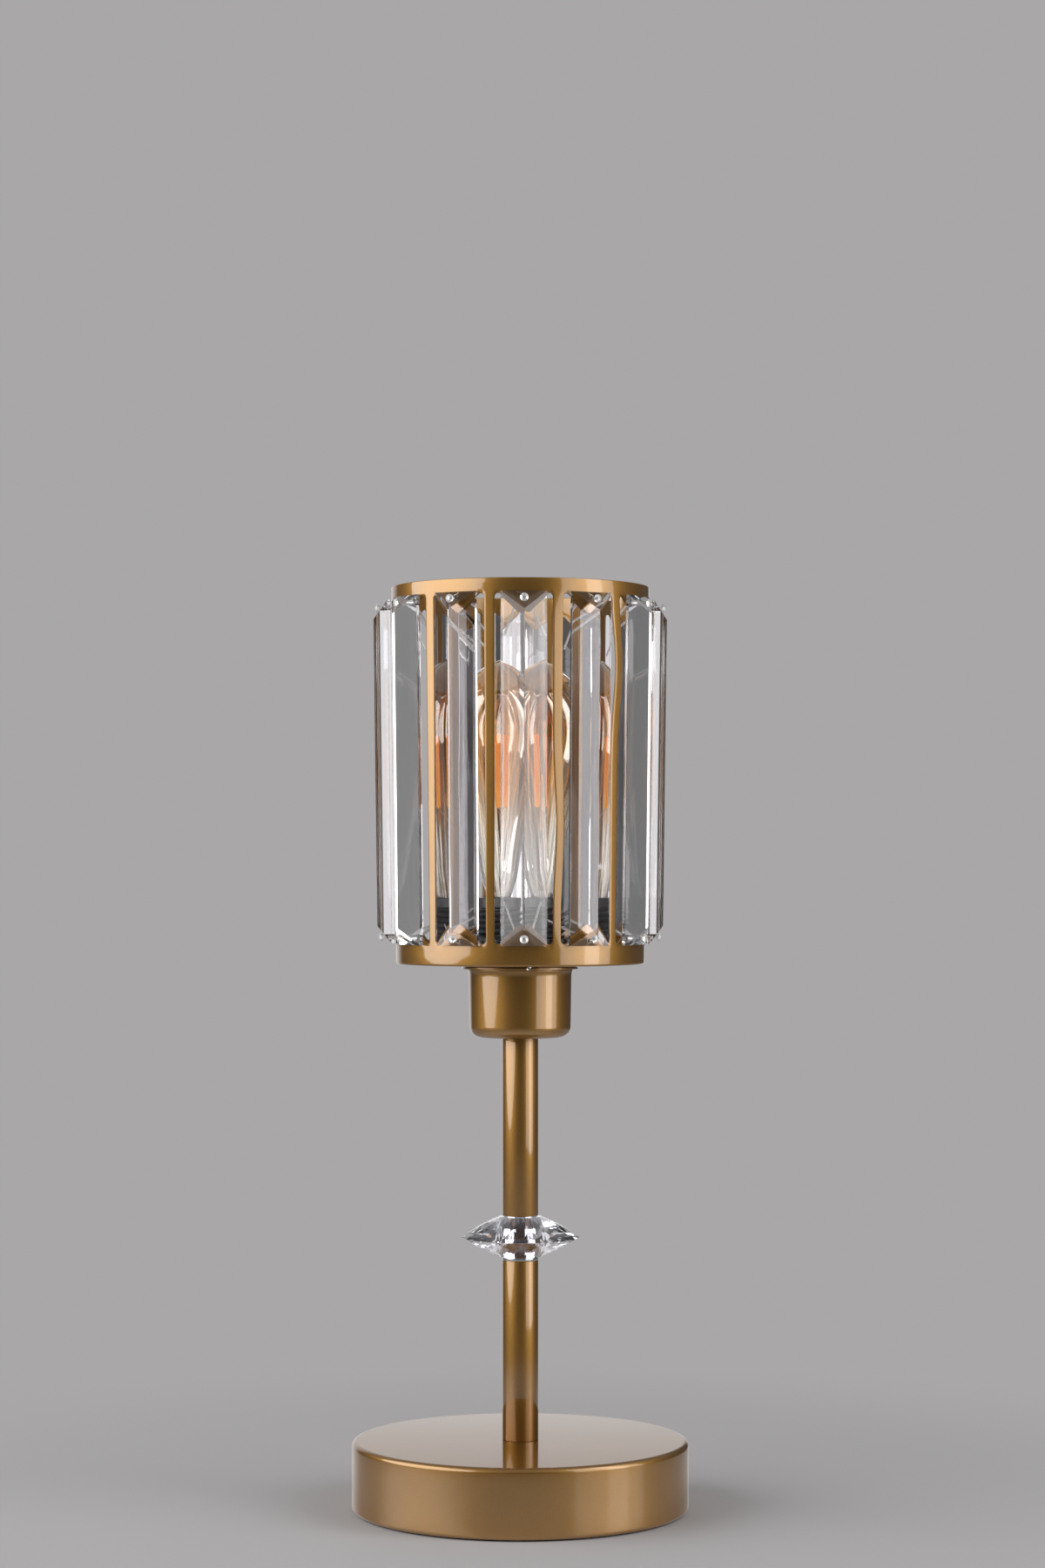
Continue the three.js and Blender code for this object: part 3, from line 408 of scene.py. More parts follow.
outer_wall, outer_patch, outer_rim = drilled_wall(base_radius)
inner_wall, inner_patch, inner_rim = drilled_wall(base_radius - base_wall)
hole_edge = surface(np.stack([outer_rim, inner_rim]), close_columns=True)
drum_skin = [turned(top_plate, base_turns, closed=False), turned(rolled_hem, base_turns, closed=False)]
drum_skin += [outer_wall, outer_patch, inner_wall, inner_patch, hole_edge]
piece("base_drum", drum_skin, lacquer, "gold_paint", "base_shell")

# Closed-cell foam pad, die-cut: near black, with fine pores.
foam = mottled(
    "black_foam", 0.5, "1A1A1A", "2C2B2A", 3.0, relief=(0.6, 0.1), Roughness=0.95, Specular_IOR_Level=0.3
)
_, pad_high = size("base_pad")
pad_edge = 0.3
pad_outline = tube(0, pad_high[0], 0, pad_high[2], pad_edge)
piece("base_foam_pad", [turned(pad_outline, 128, closed=False)], foam, "pad", "base_pad")

# Moulded rubber bush with two lips that grip the drum's wall: matt black with a fine moulded grain.
rubber = mottled(
    "moulded_rubber", 0.4, "161616", "242424", relief=(0.4, 0.03), Roughness=0.7, Specular_IOR_Level=0.4
)
bush_bore = 3.7
bush_mouth = 0.5
bush_body = 5.0
bush_lip = 6.4
lip_thickness = 1.6
bush_low, bush_high = size("cord_grommet")
outer_lip = bush_high[1] - lip_thickness
inner_lip = bush_low[1] + lip_thickness
lip_round = lip_thickness / 2
bush_outline = joined(
    [[bush_bore, bush_low[1]]],
    arc(bush_lip - lip_round, inner_lip - lip_round, lip_round, -90, 60, 6),
    [[bush_body, inner_lip], [bush_body, outer_lip]],
    arc(bush_lip - lip_round, outer_lip + lip_round, lip_round, -60, 90, 6),
    arc(bush_bore + bush_mouth, bush_high[1] - bush_mouth, bush_mouth, 90, 180, 3),
)
bush_points, bush_faces = turned(bush_outline, 48)
bush_points = bush_points[:, [0, 2, 1]] * [1, 1, -1] + [0, 0, outlet_height]
piece("cord_bush", [(bush_points, bush_faces)], rubber, "outlet_rubber", "cord_grommet")


# Stem: two lengths of steel tube in the same lacquer, with lightly broken ends, one under the glass disc and
# one over it.
tube_wall = 1.5
tube_edge = 0.25
for name in ("stem_lower", "stem_upper"):
    low, high = size(name)
    tube_radius = high[0]
    outline = tube(tube_radius - tube_wall, tube_radius, low[2], high[2], tube_edge)
    piece(f"{name}_tube", [turned(outline)], lacquer, "gold_paint", name)

# Core of the glass disc: a turned brass sleeve with a thin collar at its foot, polished and chromed, so it
# mirrors the room with crisp dark and white bands.
chrome = mottled("polished_chrome", 3, "D2D5D8", "DEE0E2", 3.0, gloss=(0.03, 0.08), Metallic=1.0)
core_low, core_high = size("disc_core")
disc_low, disc_high = size("crystal_disc")
sleeve_radius = tube_radius - 0.8
collar_round = 0.5
core_outline = joined(
    [[rod_hole, core_low[2]]],
    rounded(tube_radius, core_low[2], disc_low[2], collar_round, 5),
    [[sleeve_radius, disc_low[2]], [sleeve_radius, core_high[2]], [rod_hole, core_high[2]]],
)
piece("disc_core_sleeve", [turned(core_outline)], chrome, "chrome", "disc_core")

# Glass disc: lead-free crystal, cut on a wheel into sixteen facets round and two rows on each side of a sharp
# girdle, then polished, so that each facet holds its own piece of the room. A row is half a facet round from
# the next one.
clear_glass = {"Roughness": 0.0, "Transmission_Weight": 1.0}
crystal = mottled("polished_crystal", 14, "F0EDF8", "FBF9FF", 1.0, IOR=1.55, **clear_glass)

facets = 16
bore_turns = 6 * facets
disc_bore = sleeve_radius + 0.3
# Corners of the cut from the foot to the top: radius, height, and turn in facets. The third is the girdle.
cut_corners = (
    (tube_radius + 1.6, disc_low[2], 0),
    (17.5, disc_low[2] + 3.8, 0.5),
    (disc_high[0], disc_low[2] + 8.6, 0),
    (18.2, disc_high[2] - 4, 0.5),
    (tube_radius + 1.5, disc_high[2], 0),
)


def facet_row(radius, height, turn, level, level_height, level_turn):
    """Row of cut facets between two regular polygons half a facet apart: from each corner of either one, a
    triangle to the nearest side of the other."""
    step = 2 * np.pi / facets
    index = np.arange(facets)
    points = joined(
        around(radius, step * (index + turn), height),
        around(level, step * (index + level_turn), level_height),
    )
    after = (index + 1) % facets
    near, far = (index, after) if turn > level_turn else (after, index)
    faces = [[index, after, facets + far], [near, facets + after, facets + index]]
    return points, np.concatenate([np.stack(face, axis=-1) for face in faces])


def land(radius, height):
    """Flat ring from a regular polygon of the facets' count in to the round bore, a face to each side."""
    corner = 2 * np.pi * np.arange(facets) / facets
    turn = 2 * np.pi * np.arange(bore_turns) / bore_turns
    points = joined(around(radius, corner, height), around(disc_bore, turn, height))
    index = np.arange(facets)[:, None]
    share = bore_turns // facets
    back = facets + (share * (index + 1) - np.arange(share + 1)) % bore_turns
    return points, np.concatenate([index, (index + 1) % facets, back], axis=1)


def polished_edges(made, width, least):
    """Merges flat triangles into facets and rounds every edge of more than `least` degrees by a bevel."""
    skin = bmesh.new()
    skin.from_mesh(made.data)
    bmesh.ops.dissolve_limit(skin, angle_limit=math.radians(0.5), verts=skin.verts, edges=skin.edges)
    skin.to_mesh(made.data)
    skin.free()
    bevel = made.modifiers.new("polished_edges", "BEVEL")
    bevel.width = width * MM
    bevel.segments = 2
    bevel.limit_method = "ANGLE"
    bevel.angle_limit = math.radians(least)
    bevel.harden_normals = True


bore_wall = turned([[disc_bore, disc_low[2]], [disc_bore, disc_high[2]]], bore_turns, closed=False)
disc_skin = [facet_row(*low, *high) for low, high in zip(cut_corners, cut_corners[1:])]
disc_skin += [land(*cut_corners[0][:2]), land(*cut_corners[-1][:2]), bore_wall]
disc = piece("cut_glass_disc", disc_skin, crystal, "cut_glass", "crystal_disc", sharp=4)
polished_edges(disc, 0.12, 5)

# Cup under the shade: spun from thin steel with a round foot and a small flare at the rim, and lacquered like
# the stem. The tie rod clamps it between the upper tube and the lampholder.
cup_low, cup_high = size("holder_cup")
cup_wall = 1.0
cup_corner = 5.0
cup_top_radius = cup_high[0]
cup_foot_radius = cup_top_radius - 0.9
flare_height = 3.2
flare_width = 0.55
corner_middle = (cup_foot_radius - cup_corner, cup_low[2] + cup_corner)
rim = 0.3
share = np.linspace(0, 1, 7)[:-1, None]
flared = [cup_top_radius - flare_width, cup_high[2] - flare_height] + share * [0, flare_height - rim]
flared[:, 0] += flare_width * share[:, 0] ** 2
cup_outline = joined(
    [[rod_hole, cup_low[2]]],
    arc(*corner_middle, cup_corner, -90, 0, 14),
    flared,
    arc(cup_top_radius - rim, cup_high[2] - rim, rim, 0, 90, 3),
    arc(cup_top_radius - cup_wall + rim, cup_high[2] - rim, rim, 90, 180, 3),
    flared[::-1] - [cup_wall, 0],
    arc(*corner_middle, cup_corner - cup_wall, 0, -90, 10),
    [[rod_hole, cup_low[2] + cup_wall]],
)
piece("spun_cup", [turned(cup_outline, 128)], lacquer, "gold_paint", "holder_cup")

# Split ring between the cup and the shade: a steel spring ring with a groove round its side and one slanted
# slit, sawn after lacquering, so that the slit's ends are bright.
steel = mottled("sawn_steel", 0.3, "C6C4C1", "DAD8D5", Metallic=1.0, Roughness=0.3)
ring_low, ring_high = size("split_ring")
ring_radius = cup_top_radius + 2.5
ring_bore = 21.0
slit = 1.5
slit_middle = 2.9
slit_slant = math.radians(24)
ring_edge = 0.3
groove_half = 0.35
groove_depth = 0.7
ring_steps = 144
ring_level = (ring_low[2] + ring_high[2]) / 2
ring_outline = joined(
    [[ring_bore, ring_low[2]]],
    arc(ring_radius - ring_edge, ring_low[2] + ring_edge, ring_edge, -90, 0, 3),
    arc(0, 0, 1, 270, 90, 6) * [groove_depth, groove_half] + [ring_radius, ring_level],
    arc(ring_radius - ring_edge, ring_high[2] - ring_edge, ring_edge, 0, 90, 3),
    [[ring_bore, ring_high[2]]],
)
radius, height = ring_outline.T[:, None, :]
front = -np.pi / 2
slit_place = slit_middle + (ring_radius - radius) / math.tan(slit_slant)
slit_right = front + np.arcsin((slit_place + slit / 2) / radius)
slit_left = front + 2 * np.pi + np.arcsin((slit_place - slit / 2) / radius)
angle = slit_right + (slit_left - slit_right) * np.linspace(0, 1, ring_steps + 1)[:, None]
sides = len(ring_outline)
ring_points, ring_faces = surface(around(radius, angle, height), close_columns=True)
slit_faces = np.arange(sides) + [[0], [ring_steps * sides]]
ring_skin = [(ring_points, ring_faces), (ring_points, slit_faces)]
spring_ring = piece("slit_ring", ring_skin, lacquer, "gold_paint", "split_ring")
spring_ring.data.materials.append(steel)
for face in spring_ring.data.polygons:
    face.material_index = int(face.loop_total == sides)

# Lampholder: black phenolic moulding in three parts, with a half-gloss skin. The base is hidden in the cup;
# the shell has a coarse round thread outside, and the shade ring screws down it onto the shade's floor.
moulded = {"relief": (0.15, 0.03), "Roughness": 0.34, "Specular_IOR_Level": 0.55}
bakelite = mottled("black_phenolic", 0.8, "0E0E0F", "1E1D1D", 4.0, **moulded)


def thread_rows(crest, depth, pitch, start, end, datum, turns):
    """Rows of a right-handed round thread: the radius is a cosine of the height and of the angle, one pitch
    to a turn, and fades to the root's radius at both ends."""
    rows_to_pitch = 10
    run_out = 0.6 * pitch
    height = np.linspace(start, end, int((end - start) / pitch * rows_to_pitch) + 1)[:, None]
    turn = np.arange(turns) / turns
    wave = (1 + np.cos(2 * np.pi * ((height - datum) / pitch - turn))) / 2
    fade = np.clip(np.minimum(height - start, end - height) / run_out, 0, 1)
    return list(zip(crest - depth + depth * wave * fade, height[:, 0]))


shell_low, shell_high = size("holder_shell")
thread_crest = 20.0
thread_depth = 1.1
thread_pitch = 2.55
thread_top = shell_high[2] - 4.3
thread_foot = thread_top - 24
shoulder = thread_foot - 5.7
shell_bore = 15.0
spigot = 17.5
collar = 19.4
collar_edge = 0.6
shell_rows = [
    (shell_bore, shell_low[2]),
    (spigot, shell_low[2]),
    (spigot, shoulder),
    (thread_crest - thread_depth, shoulder),
    *thread_rows(thread_crest, thread_depth, thread_pitch, thread_foot, thread_top, thread_top, 96),
    (collar, thread_top + 0.1),
    *arc(collar - collar_edge, shell_high[2] - collar_edge, collar_edge, 0, 90, 4),
    *arc(shell_bore + collar_edge, shell_high[2] - collar_edge, collar_edge, 90, 180, 4),
]
piece("holder_threaded_shell", [turned(shell_rows)], bakelite, "bakelite", "holder_shell")

grip_low, grip_high = size("shade_ring")
grip_count = 24
grip_depth = 0.9
grip_crest = grip_high[0]
grip_bore = thread_crest + 0.35
grip_turns = 12 * grip_count
grip_edge = 0.5
groove = (1 - np.cos(2 * np.pi * grip_count * np.arange(grip_turns) / grip_turns)) / 2
grip_side = grip_crest - grip_depth * groove**3
grip_rows = [
    (grip_bore, grip_low[2]),
    *[(grip_side + r, h) for r, h in rounded(0, grip_low[2], grip_high[2], grip_edge, 4)],
    (grip_bore, grip_high[2]),
]
grip_skin = [turned(grip_rows, grip_turns)]
piece("shade_grip_ring", grip_skin, bakelite, "bakelite", "shade_ring", body="shade_ring")

# Shade floor: a flat ring of the frame's steel, spot-welded inside its foot and lacquered with it. The shade
# ring clamps it down on the split ring and the cup.
floor_low, floor_high = size("shade_floor")
floor_hole = thread_crest + 0.3
floor_edge = 0.2
floor_outline = tube(floor_hole, floor_high[0], floor_low[2], floor_high[2], floor_edge)
piece("shade_floor_ring", [turned(floor_outline, 144)], lacquer, "gold_paint", "shade_floor")


# Shade frame: sheet steel blanked with twelve windows, rolled into a slightly conical drum, welded and
# lacquered. A pointed tab at each end of a window carries a glass bar. Two of the thin strips on the
# right-hand side were bent by hand and bow to the right.
frame_low, frame_high = size("shade_frame")
stations = 12
station_step = 2 * np.pi / stations
sheet = 1.2
mouth_radius = 57.5
foot_radius = 55.35
taper = (mouth_radius - foot_radius) / (frame_high[2] - frame_low[2])
window_half = 12.507
window_foot = frame_low[2] + 9.8
window_head = frame_high[2] - 6.7
window_middle = (window_foot + window_head) / 2
window_half_height = (window_head - window_foot) / 2
corner = 1.6
tab_slope = 41.5
tab_turn = math.radians(tab_slope)
tab_tip = 2.0
tab_foot = window_half - corner * (1 + math.sin(tab_turn) - math.cos(tab_turn)) / math.sin(tab_turn)
tip_middle = tab_foot * math.tan(tab_turn) - tab_tip / math.cos(tab_turn)
edge_round = 0.3
foot_round = 0.9
strip_rows = 26
strip_columns = 3
strip_reach = station_step / 8  # further than any strip's edge from its middle
band_rows = 3
bent_strips = ((0.5, 1.5, 305, 6), (1.5, 2.9, 374, 0))  # station, bow in mm, height of it, twist in degrees
bow_length = 22


def frame_radius(height):
    """Outer radius of the drum, which narrows evenly from the mouth down."""
    return mouth_radius - (frame_high[2] - height) * taper


def window_end(grow):
    """Lower end of a window's outline from left to right, moved outwards by `grow`: a corner arc, the rising
    side, round tip and falling side of the tab that stands into the window, and a corner arc."""
    corner_x, corner_y = window_half - corner, window_half_height - corner
    left = arc(-corner_x, -corner_y, corner + grow, 180, 270 + tab_slope, 9)
    tip = arc(0, tip_middle - window_half_height, tab_tip - grow, 90 + tab_slope, 90 - tab_slope, 8)
    right = left[::-1] * [-1, 1]
    share = np.linspace(0, 1, 8)[1:-1, None]
    rising = left[-1] + (tip[0] - left[-1]) * share
    falling = tip[-1] + (right[0] - tip[-1]) * share
    return joined(left, rising, tip, falling, right)


straight = np.linspace(-(window_half_height - corner), window_half_height - corner, strip_rows)


def bowed(points):
    """Pushes the bent strips sideways round the drum by a bell curve of the height, and twists them about
    their own middle line. Both fade to nothing at the windows' ends."""
    angle = np.arctan2(points[..., 1], points[..., 0])
    height = points[..., 2]
    radius = np.hypot(points[..., 0], points[..., 1])
    ends = 1 - np.clip(np.abs(height - window_middle) / window_half_height, 0, 1) ** 8
    turn = depth = 0.0
    for station, bow, bow_height, twist in bent_strips:
        off = angle - (front + station * station_step)
        off = np.arctan2(np.sin(off), np.cos(off))
        near = np.abs(off) < strip_reach
        turn += near * ends * bow / radius * np.exp(-(((height - bow_height) / bow_length) ** 2))
        depth += near * ends * math.tan(math.radians(twist)) * radius * off
    return around(radius - depth, angle + turn, height)


def window_edge(station):
    """Rounded edge of one window: its closed outline swept along a profile of [outwards, depth]."""
    profile = joined(
        arc(edge_round, edge_round, edge_round, 270, 180, 3),
        arc(edge_round, sheet - edge_round, edge_round, 180, 90, 3),
    )
    loops = []
    for grow, depth in profile:
        end = window_end(grow)
        side = np.stack([np.full(strip_rows - 2, window_half + grow), straight[1:-1]], axis=-1)
        across, level = joined(end, side, -end, -side).T + [[0], [window_middle]]
        loops.append(wall_point(front + station * station_step, across, level, frame_radius(level) - depth))
    return surface(np.array(loops), close_columns=True)


def strip_to_strip(angles):
    """Columns of the sheet round one window: those of its end, and more out to the middles of the strips."""
    share = np.linspace(0, 1, strip_columns + 1)[:-1]
    left = -station_step / 2 + share * (angles[0] + station_step / 2)
    return joined(left, angles, -left[::-1])


def skin_patches(station, depth, foot_line, head_line):
    """Faces of the sheet round one window at a depth: upper and lower band in upright columns from the
    window's end to the rim, and half a strip on each side."""
    half_step = station_step / 2
    middle = front + station * station_step
    end = window_end(edge_round)
    patches = []
    for sign, rim_level in ((1, foot_line), (-1, head_line)):
        level = window_middle + sign * end[:, 1]
        inner = strip_to_strip(np.arcsin(end[:, 0] / (frame_radius(level) - depth)))
        outer = strip_to_strip(np.arcsin(end[:, 0] / mouth_radius))
        near = np.stack([inner, np.pad(level, strip_columns, mode="edge")], axis=-1)
        far = np.stack([outer, np.full(len(outer), rim_level)], axis=-1)
        share = np.linspace(0, 1, band_rows + 1)[:, None, None]
        turn, level = np.moveaxis(near + (far - near) * share, -1, 0)
        patches.append(surface(around(frame_radius(level) - depth, middle + turn, level)))
    level = window_middle + straight[:, None]
    radius = frame_radius(level) - depth
    window_side = np.arcsin((window_half + edge_round) / radius)
    for side in (-1, 1):
        share = np.linspace(0, 1, strip_columns + 1)
        turn = middle + side * (half_step + share * (window_side - half_step))
        patches.append(surface(around(radius, turn, level)))
    return patches


def rim_surface(station, profile):
    """Edge of the sheet at the rim: a profile of [depth, height] carried along the rim's own columns."""
    angles = strip_to_strip(np.arcsin(window_end(edge_round)[:, 0] / mouth_radius))
    depth, level = profile.T[:, :, None]
    return surface(around(frame_radius(level) - depth, front + station * station_step + angles, level))


head_edge = frame_high[2] - edge_round
head_profile = joined(
    arc(edge_round, head_edge, edge_round, 180, 90, 3),
    arc(sheet - edge_round, head_edge, edge_round, 90, 0, 3),
)
inner_foot = 0.2
foot_profile = joined(
    arc(foot_round, frame_low[2] + foot_round, foot_round, 180, 270, 7),
    arc(sheet - inner_foot, frame_low[2] + inner_foot, inner_foot, 270, 360, 2),
)
sheet_surfaces = []
for station in range(stations):
    sheet_surfaces.append(window_edge(station))
    sheet_surfaces += skin_patches(station, 0, frame_low[2] + foot_round, head_edge)
    sheet_surfaces += skin_patches(station, sheet, frame_low[2] + inner_foot, head_edge)
    sheet_surfaces.append(rim_surface(station, head_profile))
    sheet_surfaces.append(rim_surface(station, foot_profile))
sheet_skin = [(bowed(points), faces) for points, faces in sheet_surfaces]
piece("shade_sheet_frame", sheet_skin, lacquer, "gold_paint", "shade_frame")


# Glass bars: twelve pressed and fire-polished bars with a flat back, a ridge down the front and a sloped
# facet at each end, drilled near both ends. Soda-lime glass with a slight wave in its faces.
bar_glass, tree, shader, place = material("pressed_bar_glass", IOR=1.52, **clear_glass)
lengthwise = add(tree, "VectorMath", {0: place, 1: (1, 1, 0.05)}, operation="MULTIPLY")
waves, tone = mottle(tree, lengthwise.outputs[0], 3, "F5F2F5", "FCFAFC", 1.0)
tree.links.new(tone, shader.inputs["Base Color"])
press_wave = add(tree, "Bump", {"Height": waves, "Strength": 0.3, "Distance": 0.03 * MM})
tree.links.new(press_wave.outputs[0], shader.inputs["Normal"])

bar_width = 20.013
bar_length = 152.7
bar_thickness = 8.0
bar_side = 1.5
end_facet = 8.0
pin_height = bar_length / 2 - 3.1
pin_hole = 1.2
hole_turns = 20
rest_gap = 0.3


def glass_depth(across, along):
    """Thickness of a bar over a point of its back: it rises from the long sides to the ridge, and from each
    end up the end facet, whichever is lower."""
    from_side = bar_width / 2 - np.abs(across)
    from_end = bar_length / 2 - np.abs(along)
    rise = np.minimum(from_side / (bar_width / 2), from_end / end_facet)
    return bar_side + (bar_thickness - bar_side) * rise


def bar_surface():
    """Skin of a bar round the middle of its back, outwards towards -Y: the outline, the ridge, the facets'
    edges and the two holes are triangulated flat and lifted by the depth; walls join front and back."""
    half, end = bar_width / 2, bar_length / 2
    ridge_end = end - end_facet
    corners = [(-half, -end), (half, -end), (half, end), (-half, end), (0, -ridge_end), (0, ridge_end)]
    creases = [(4, 5), (0, 4), (1, 4), (2, 5), (3, 5)]
    edges = [(0, 1), (1, 2), (2, 3), (3, 0)]
    for middle in (-pin_height, pin_height):
        start = len(corners)
        corners += arc(0, middle, pin_hole, 0, 360, hole_turns)[:-1].tolist()
        edges += [(start + k, start + (k + 1) % hole_turns) for k in range(hole_turns)]
    flat, _, faces, *_ = geometry.delaunay_2d_cdt(corners, edges + creases, [], 1, 1e-6)
    flat, faces = np.array(flat), np.array(faces)
    middles = flat[faces].mean(axis=1)
    faces = faces[np.hypot(middles[:, 0], np.abs(middles[:, 1]) - pin_height) > pin_hole]
    depth = glass_depth(*flat.T)
    front_face = np.stack([flat[:, 0], -depth, flat[:, 1]], axis=-1)
    back_face = np.stack([flat[:, 0], 0 * depth, flat[:, 1]], axis=-1)
    walls = np.concatenate([np.array(edges), np.array(edges)[:, ::-1] + len(flat)], axis=1)
    both = joined(front_face, back_face)
    return [(both, walls), (front_face, faces), (back_face, faces[:, ::-1])]


flare = math.atan(taper)


def at_station(points, station):
    """Turns points from a bar's own frame to its place on the shade: leaned back by the drum's flare, moved
    out to the window's middle and turned round +Z."""
    x, y, z = np.moveaxis(points, -1, 0)
    lean_y = y * math.cos(flare) - z * math.sin(flare)
    lean_z = y * math.sin(flare) + z * math.cos(flare)
    out = frame_radius(window_middle) + rest_gap - lean_y
    turn = front + station * station_step
    right = out * math.cos(turn) - x * math.sin(turn)
    back = out * math.sin(turn) + x * math.cos(turn)
    return np.stack([right, back, window_middle + lean_z], axis=-1)


bar_surfaces = bar_surface()
for station in range(stations):
    node = f"glass_bar_{station + 1:02d}"
    bar_skin = [(at_station(points, station), faces) for points, faces in bar_surfaces]
    bar = piece(f"{node}_pressed", bar_skin, bar_glass, "cut_glass", node, sharp=24)
    polished_edges(bar, 0.25, 24)


# Pins: clear injection-moulded plastic, a little cloudy, with a round head, pushed through bar and tab. The
# thin tail is bent off inside the shade, which keeps the bar on.
pin_plastic = mottled(
    "clear_polycarbonate", 2, "EDEEEC", "FAFAF8", Roughness=0.12, IOR=1.585, Transmission_Weight=0.75
)

pin_radius = 0.5
head_radius = 1.9
head_half = 1.1
pin_tail = 24.0
pin_bend = 2.0
pin_sides = 12
upper_tails = (-38, -52, -46, -40, -55, -44, -50, -42, -48, -57, -51, -40)
lower_tails = (40, 18, 30, 12, 34, 22, 38, 16, 28, 20, 33, 14)
tail_sideways = 16
tail_scatter = 2.4  # radians from one station to the next


def drawn_along(path, radii, sides):
    """Round bar along a flat path: a circle of each radius stands square to the path at its point. The
    circles' first direction is the normal of the plane that holds the path."""
    path = np.asarray(path, float)
    along = np.gradient(path, axis=0)
    along /= np.linalg.norm(along, axis=1, keepdims=True)
    normal = np.cross(along[0], along[-1])
    if np.linalg.norm(normal) < 1e-6:
        normal = np.cross(along[0], np.eye(3)[np.argmin(np.abs(along[0]))])
    normal /= np.linalg.norm(normal)
    beside = np.cross(along, normal)
    angle = 2 * np.pi * np.arange(sides) / sides
    circle = np.cos(angle)[None, :, None] * normal + np.sin(angle)[None, :, None] * beside[:, None, :]
    return surface(path[:, None, :] + np.asarray(radii, float)[:, None, None] * circle, close_columns=True)


def bent(start, corner, end, steps):
    """Parabola from start to end that leaves and arrives along the lines through the corner."""
    share = np.linspace(0, 1, steps + 1)[:, None]
    return (1 - share) ** 2 * start + 2 * share * (1 - share) * corner + share**2 * end


def pin_surface(side, rise, sideways):
    """Head, shank, bend and tail as one bar: the head is half an ellipse of radius along the pin's axis."""
    slope = math.atan((bar_thickness - bar_side) / end_facet)
    clear = math.hypot(head_radius * math.sin(slope), head_half * math.cos(slope)) + rest_gap / 2
    head_middle = -glass_depth(0, pin_height) - clear / math.cos(slope)
    swell = np.linspace(0, np.pi - math.asin(pin_radius / head_radius), 12)
    head_y = head_middle - head_half * np.cos(swell)
    level = side * pin_height
    up, turn = math.radians(rise), math.radians(sideways)
    tail = np.array([math.sin(turn) * math.cos(up), math.cos(turn) * math.cos(up), math.sin(up)])
    bend = np.array([0, rest_gap + sheet + pin_bend, level])
    curve = bent(bend - [0, pin_bend, 0], bend, bend + pin_bend * tail, 8)
    run = np.array([3.0, 8.0, 16.0, 22.0, pin_tail - 0.4, pin_tail - 0.1, pin_tail])[:, None]
    head = np.stack([0 * head_y, head_y, 0 * head_y + level], axis=-1)
    shank = np.full(len(curve) + len(run) - 2, pin_radius)
    radii = joined(head_radius * np.sin(swell), shank, [pin_radius * 0.7, 0])
    return drawn_along(joined(head, curve, bend + run * tail), radii, pin_sides)


for station in range(stations):
    sideways = tail_sideways * math.sin(station * tail_scatter)
    for end, side, rise, turn in (
        ("upper", 1, upper_tails[station], sideways),
        ("lower", -1, lower_tails[station], -sideways),
    ):
        points, faces = pin_surface(side, rise, turn)
        node = f"{end}_pin_{station + 1:02d}"
        piece(f"{node}_moulded", [(at_station(points, station), faces)], pin_plastic, "clear_plastic", node)


# Bulb glass: blown soda-lime envelope, 0.8 mm thick, with an amber metal-oxide lustre fired on the dome that
# thins out down the body and leaves the neck clear. The lustre mirrors more than bare glass does.
tip_low, tip_high = size("bulb_tip")
tip_plane = tip_low[2]
bulb_radius = size("bulb_glass")[1][0]
widest = 107.0
dome = 33.0
glass_wall = 0.8
neck_radius = 12.2
neck_foot = 23.0
flank = ((neck_radius, 27), (17.2, 41), (19.0, 51), (22.6, 68), (bulb_radius, widest))


def through(points, steps):
    """Smooth curve through points: cubic pieces whose slope at each point follows its neighbours, starting
    towards the second point and ending upright."""
    points = np.array(points, float)
    ahead = [points[-2][0], 2 * points[-1][1] - points[-2][1]]
    padded = joined(points[:1], points, [ahead])
    a, b, c, d = (padded[k : k + len(points) - 1, None] for k in range(4))
    share = np.linspace(0, 1, steps, endpoint=False)[:, None]
    curve = b + (c - a) / 2 * share + (a - 2.5 * b + 2 * c - d / 2) * share**2
    curve += (1.5 * (b - c) + (d - a) / 2) * share**3
    return curve.reshape(-1, 2)


outer_glass = joined(
    [[neck_radius, neck_foot]],
    through(flank, 12),
    arc(0, 0, 1, 0, 90, 28) * [bulb_radius, dome] + [0, widest],
)
step = np.gradient(outer_glass, axis=0)
step /= np.linalg.norm(step, axis=1, keepdims=True)
inner_glass = outer_glass + glass_wall * np.stack([-step[:, 1], step[:, 0]], axis=-1)
inner_glass[0] = outer_glass[0] - [glass_wall, 0]
inner_glass[-1] = outer_glass[-1] - [0, glass_wall]
outer_glass[-1, 0] = inner_glass[-1, 0] = 0
inner_glass[:, 0] = np.maximum(inner_glass[:, 0], 0)
envelope = joined(outer_glass[::-1], inner_glass) + [0, tip_plane]

fired = {"Coat_Weight": 1.0, "Coat_Roughness": 0.0, "Coat_IOR": 1.9}
lustre, tree, shader, place = material("amber_lustre_glass", IOR=1.52, **clear_glass, **fired)
lustre_drift = 0.02  # this and the next two are heights over the table in metres
lustre_foot = 0.3
lustre_full = 0.35
clouds = add(tree, "TexNoise", {"Vector": place, "Scale": per_mm(30), "Detail": 2.0})
height = add(tree, "SeparateXYZ", {0: place}).outputs["Z"]
drifting = {0: clouds.outputs["Fac"], 1: lustre_drift, 2: height}
drift = add(tree, "Math", drifting, operation="MULTIPLY_ADD")
thickening = {"Value": drift.outputs[0], "From Min": lustre_foot, "From Max": lustre_full}
thickness = add(tree, "MapRange", thickening, interpolation_type="SMOOTHERSTEP")
amber_tones = {"Factor": thickness.outputs[0], 6: linear("FBF8F2"), 7: linear("E7C79C")}
amber = add(tree, "Mix", amber_tones, data_type="RGBA")
tree.links.new(amber.outputs[2], shader.inputs["Base Color"])
bulb_skin = [turned(envelope, 128, closed=False)]
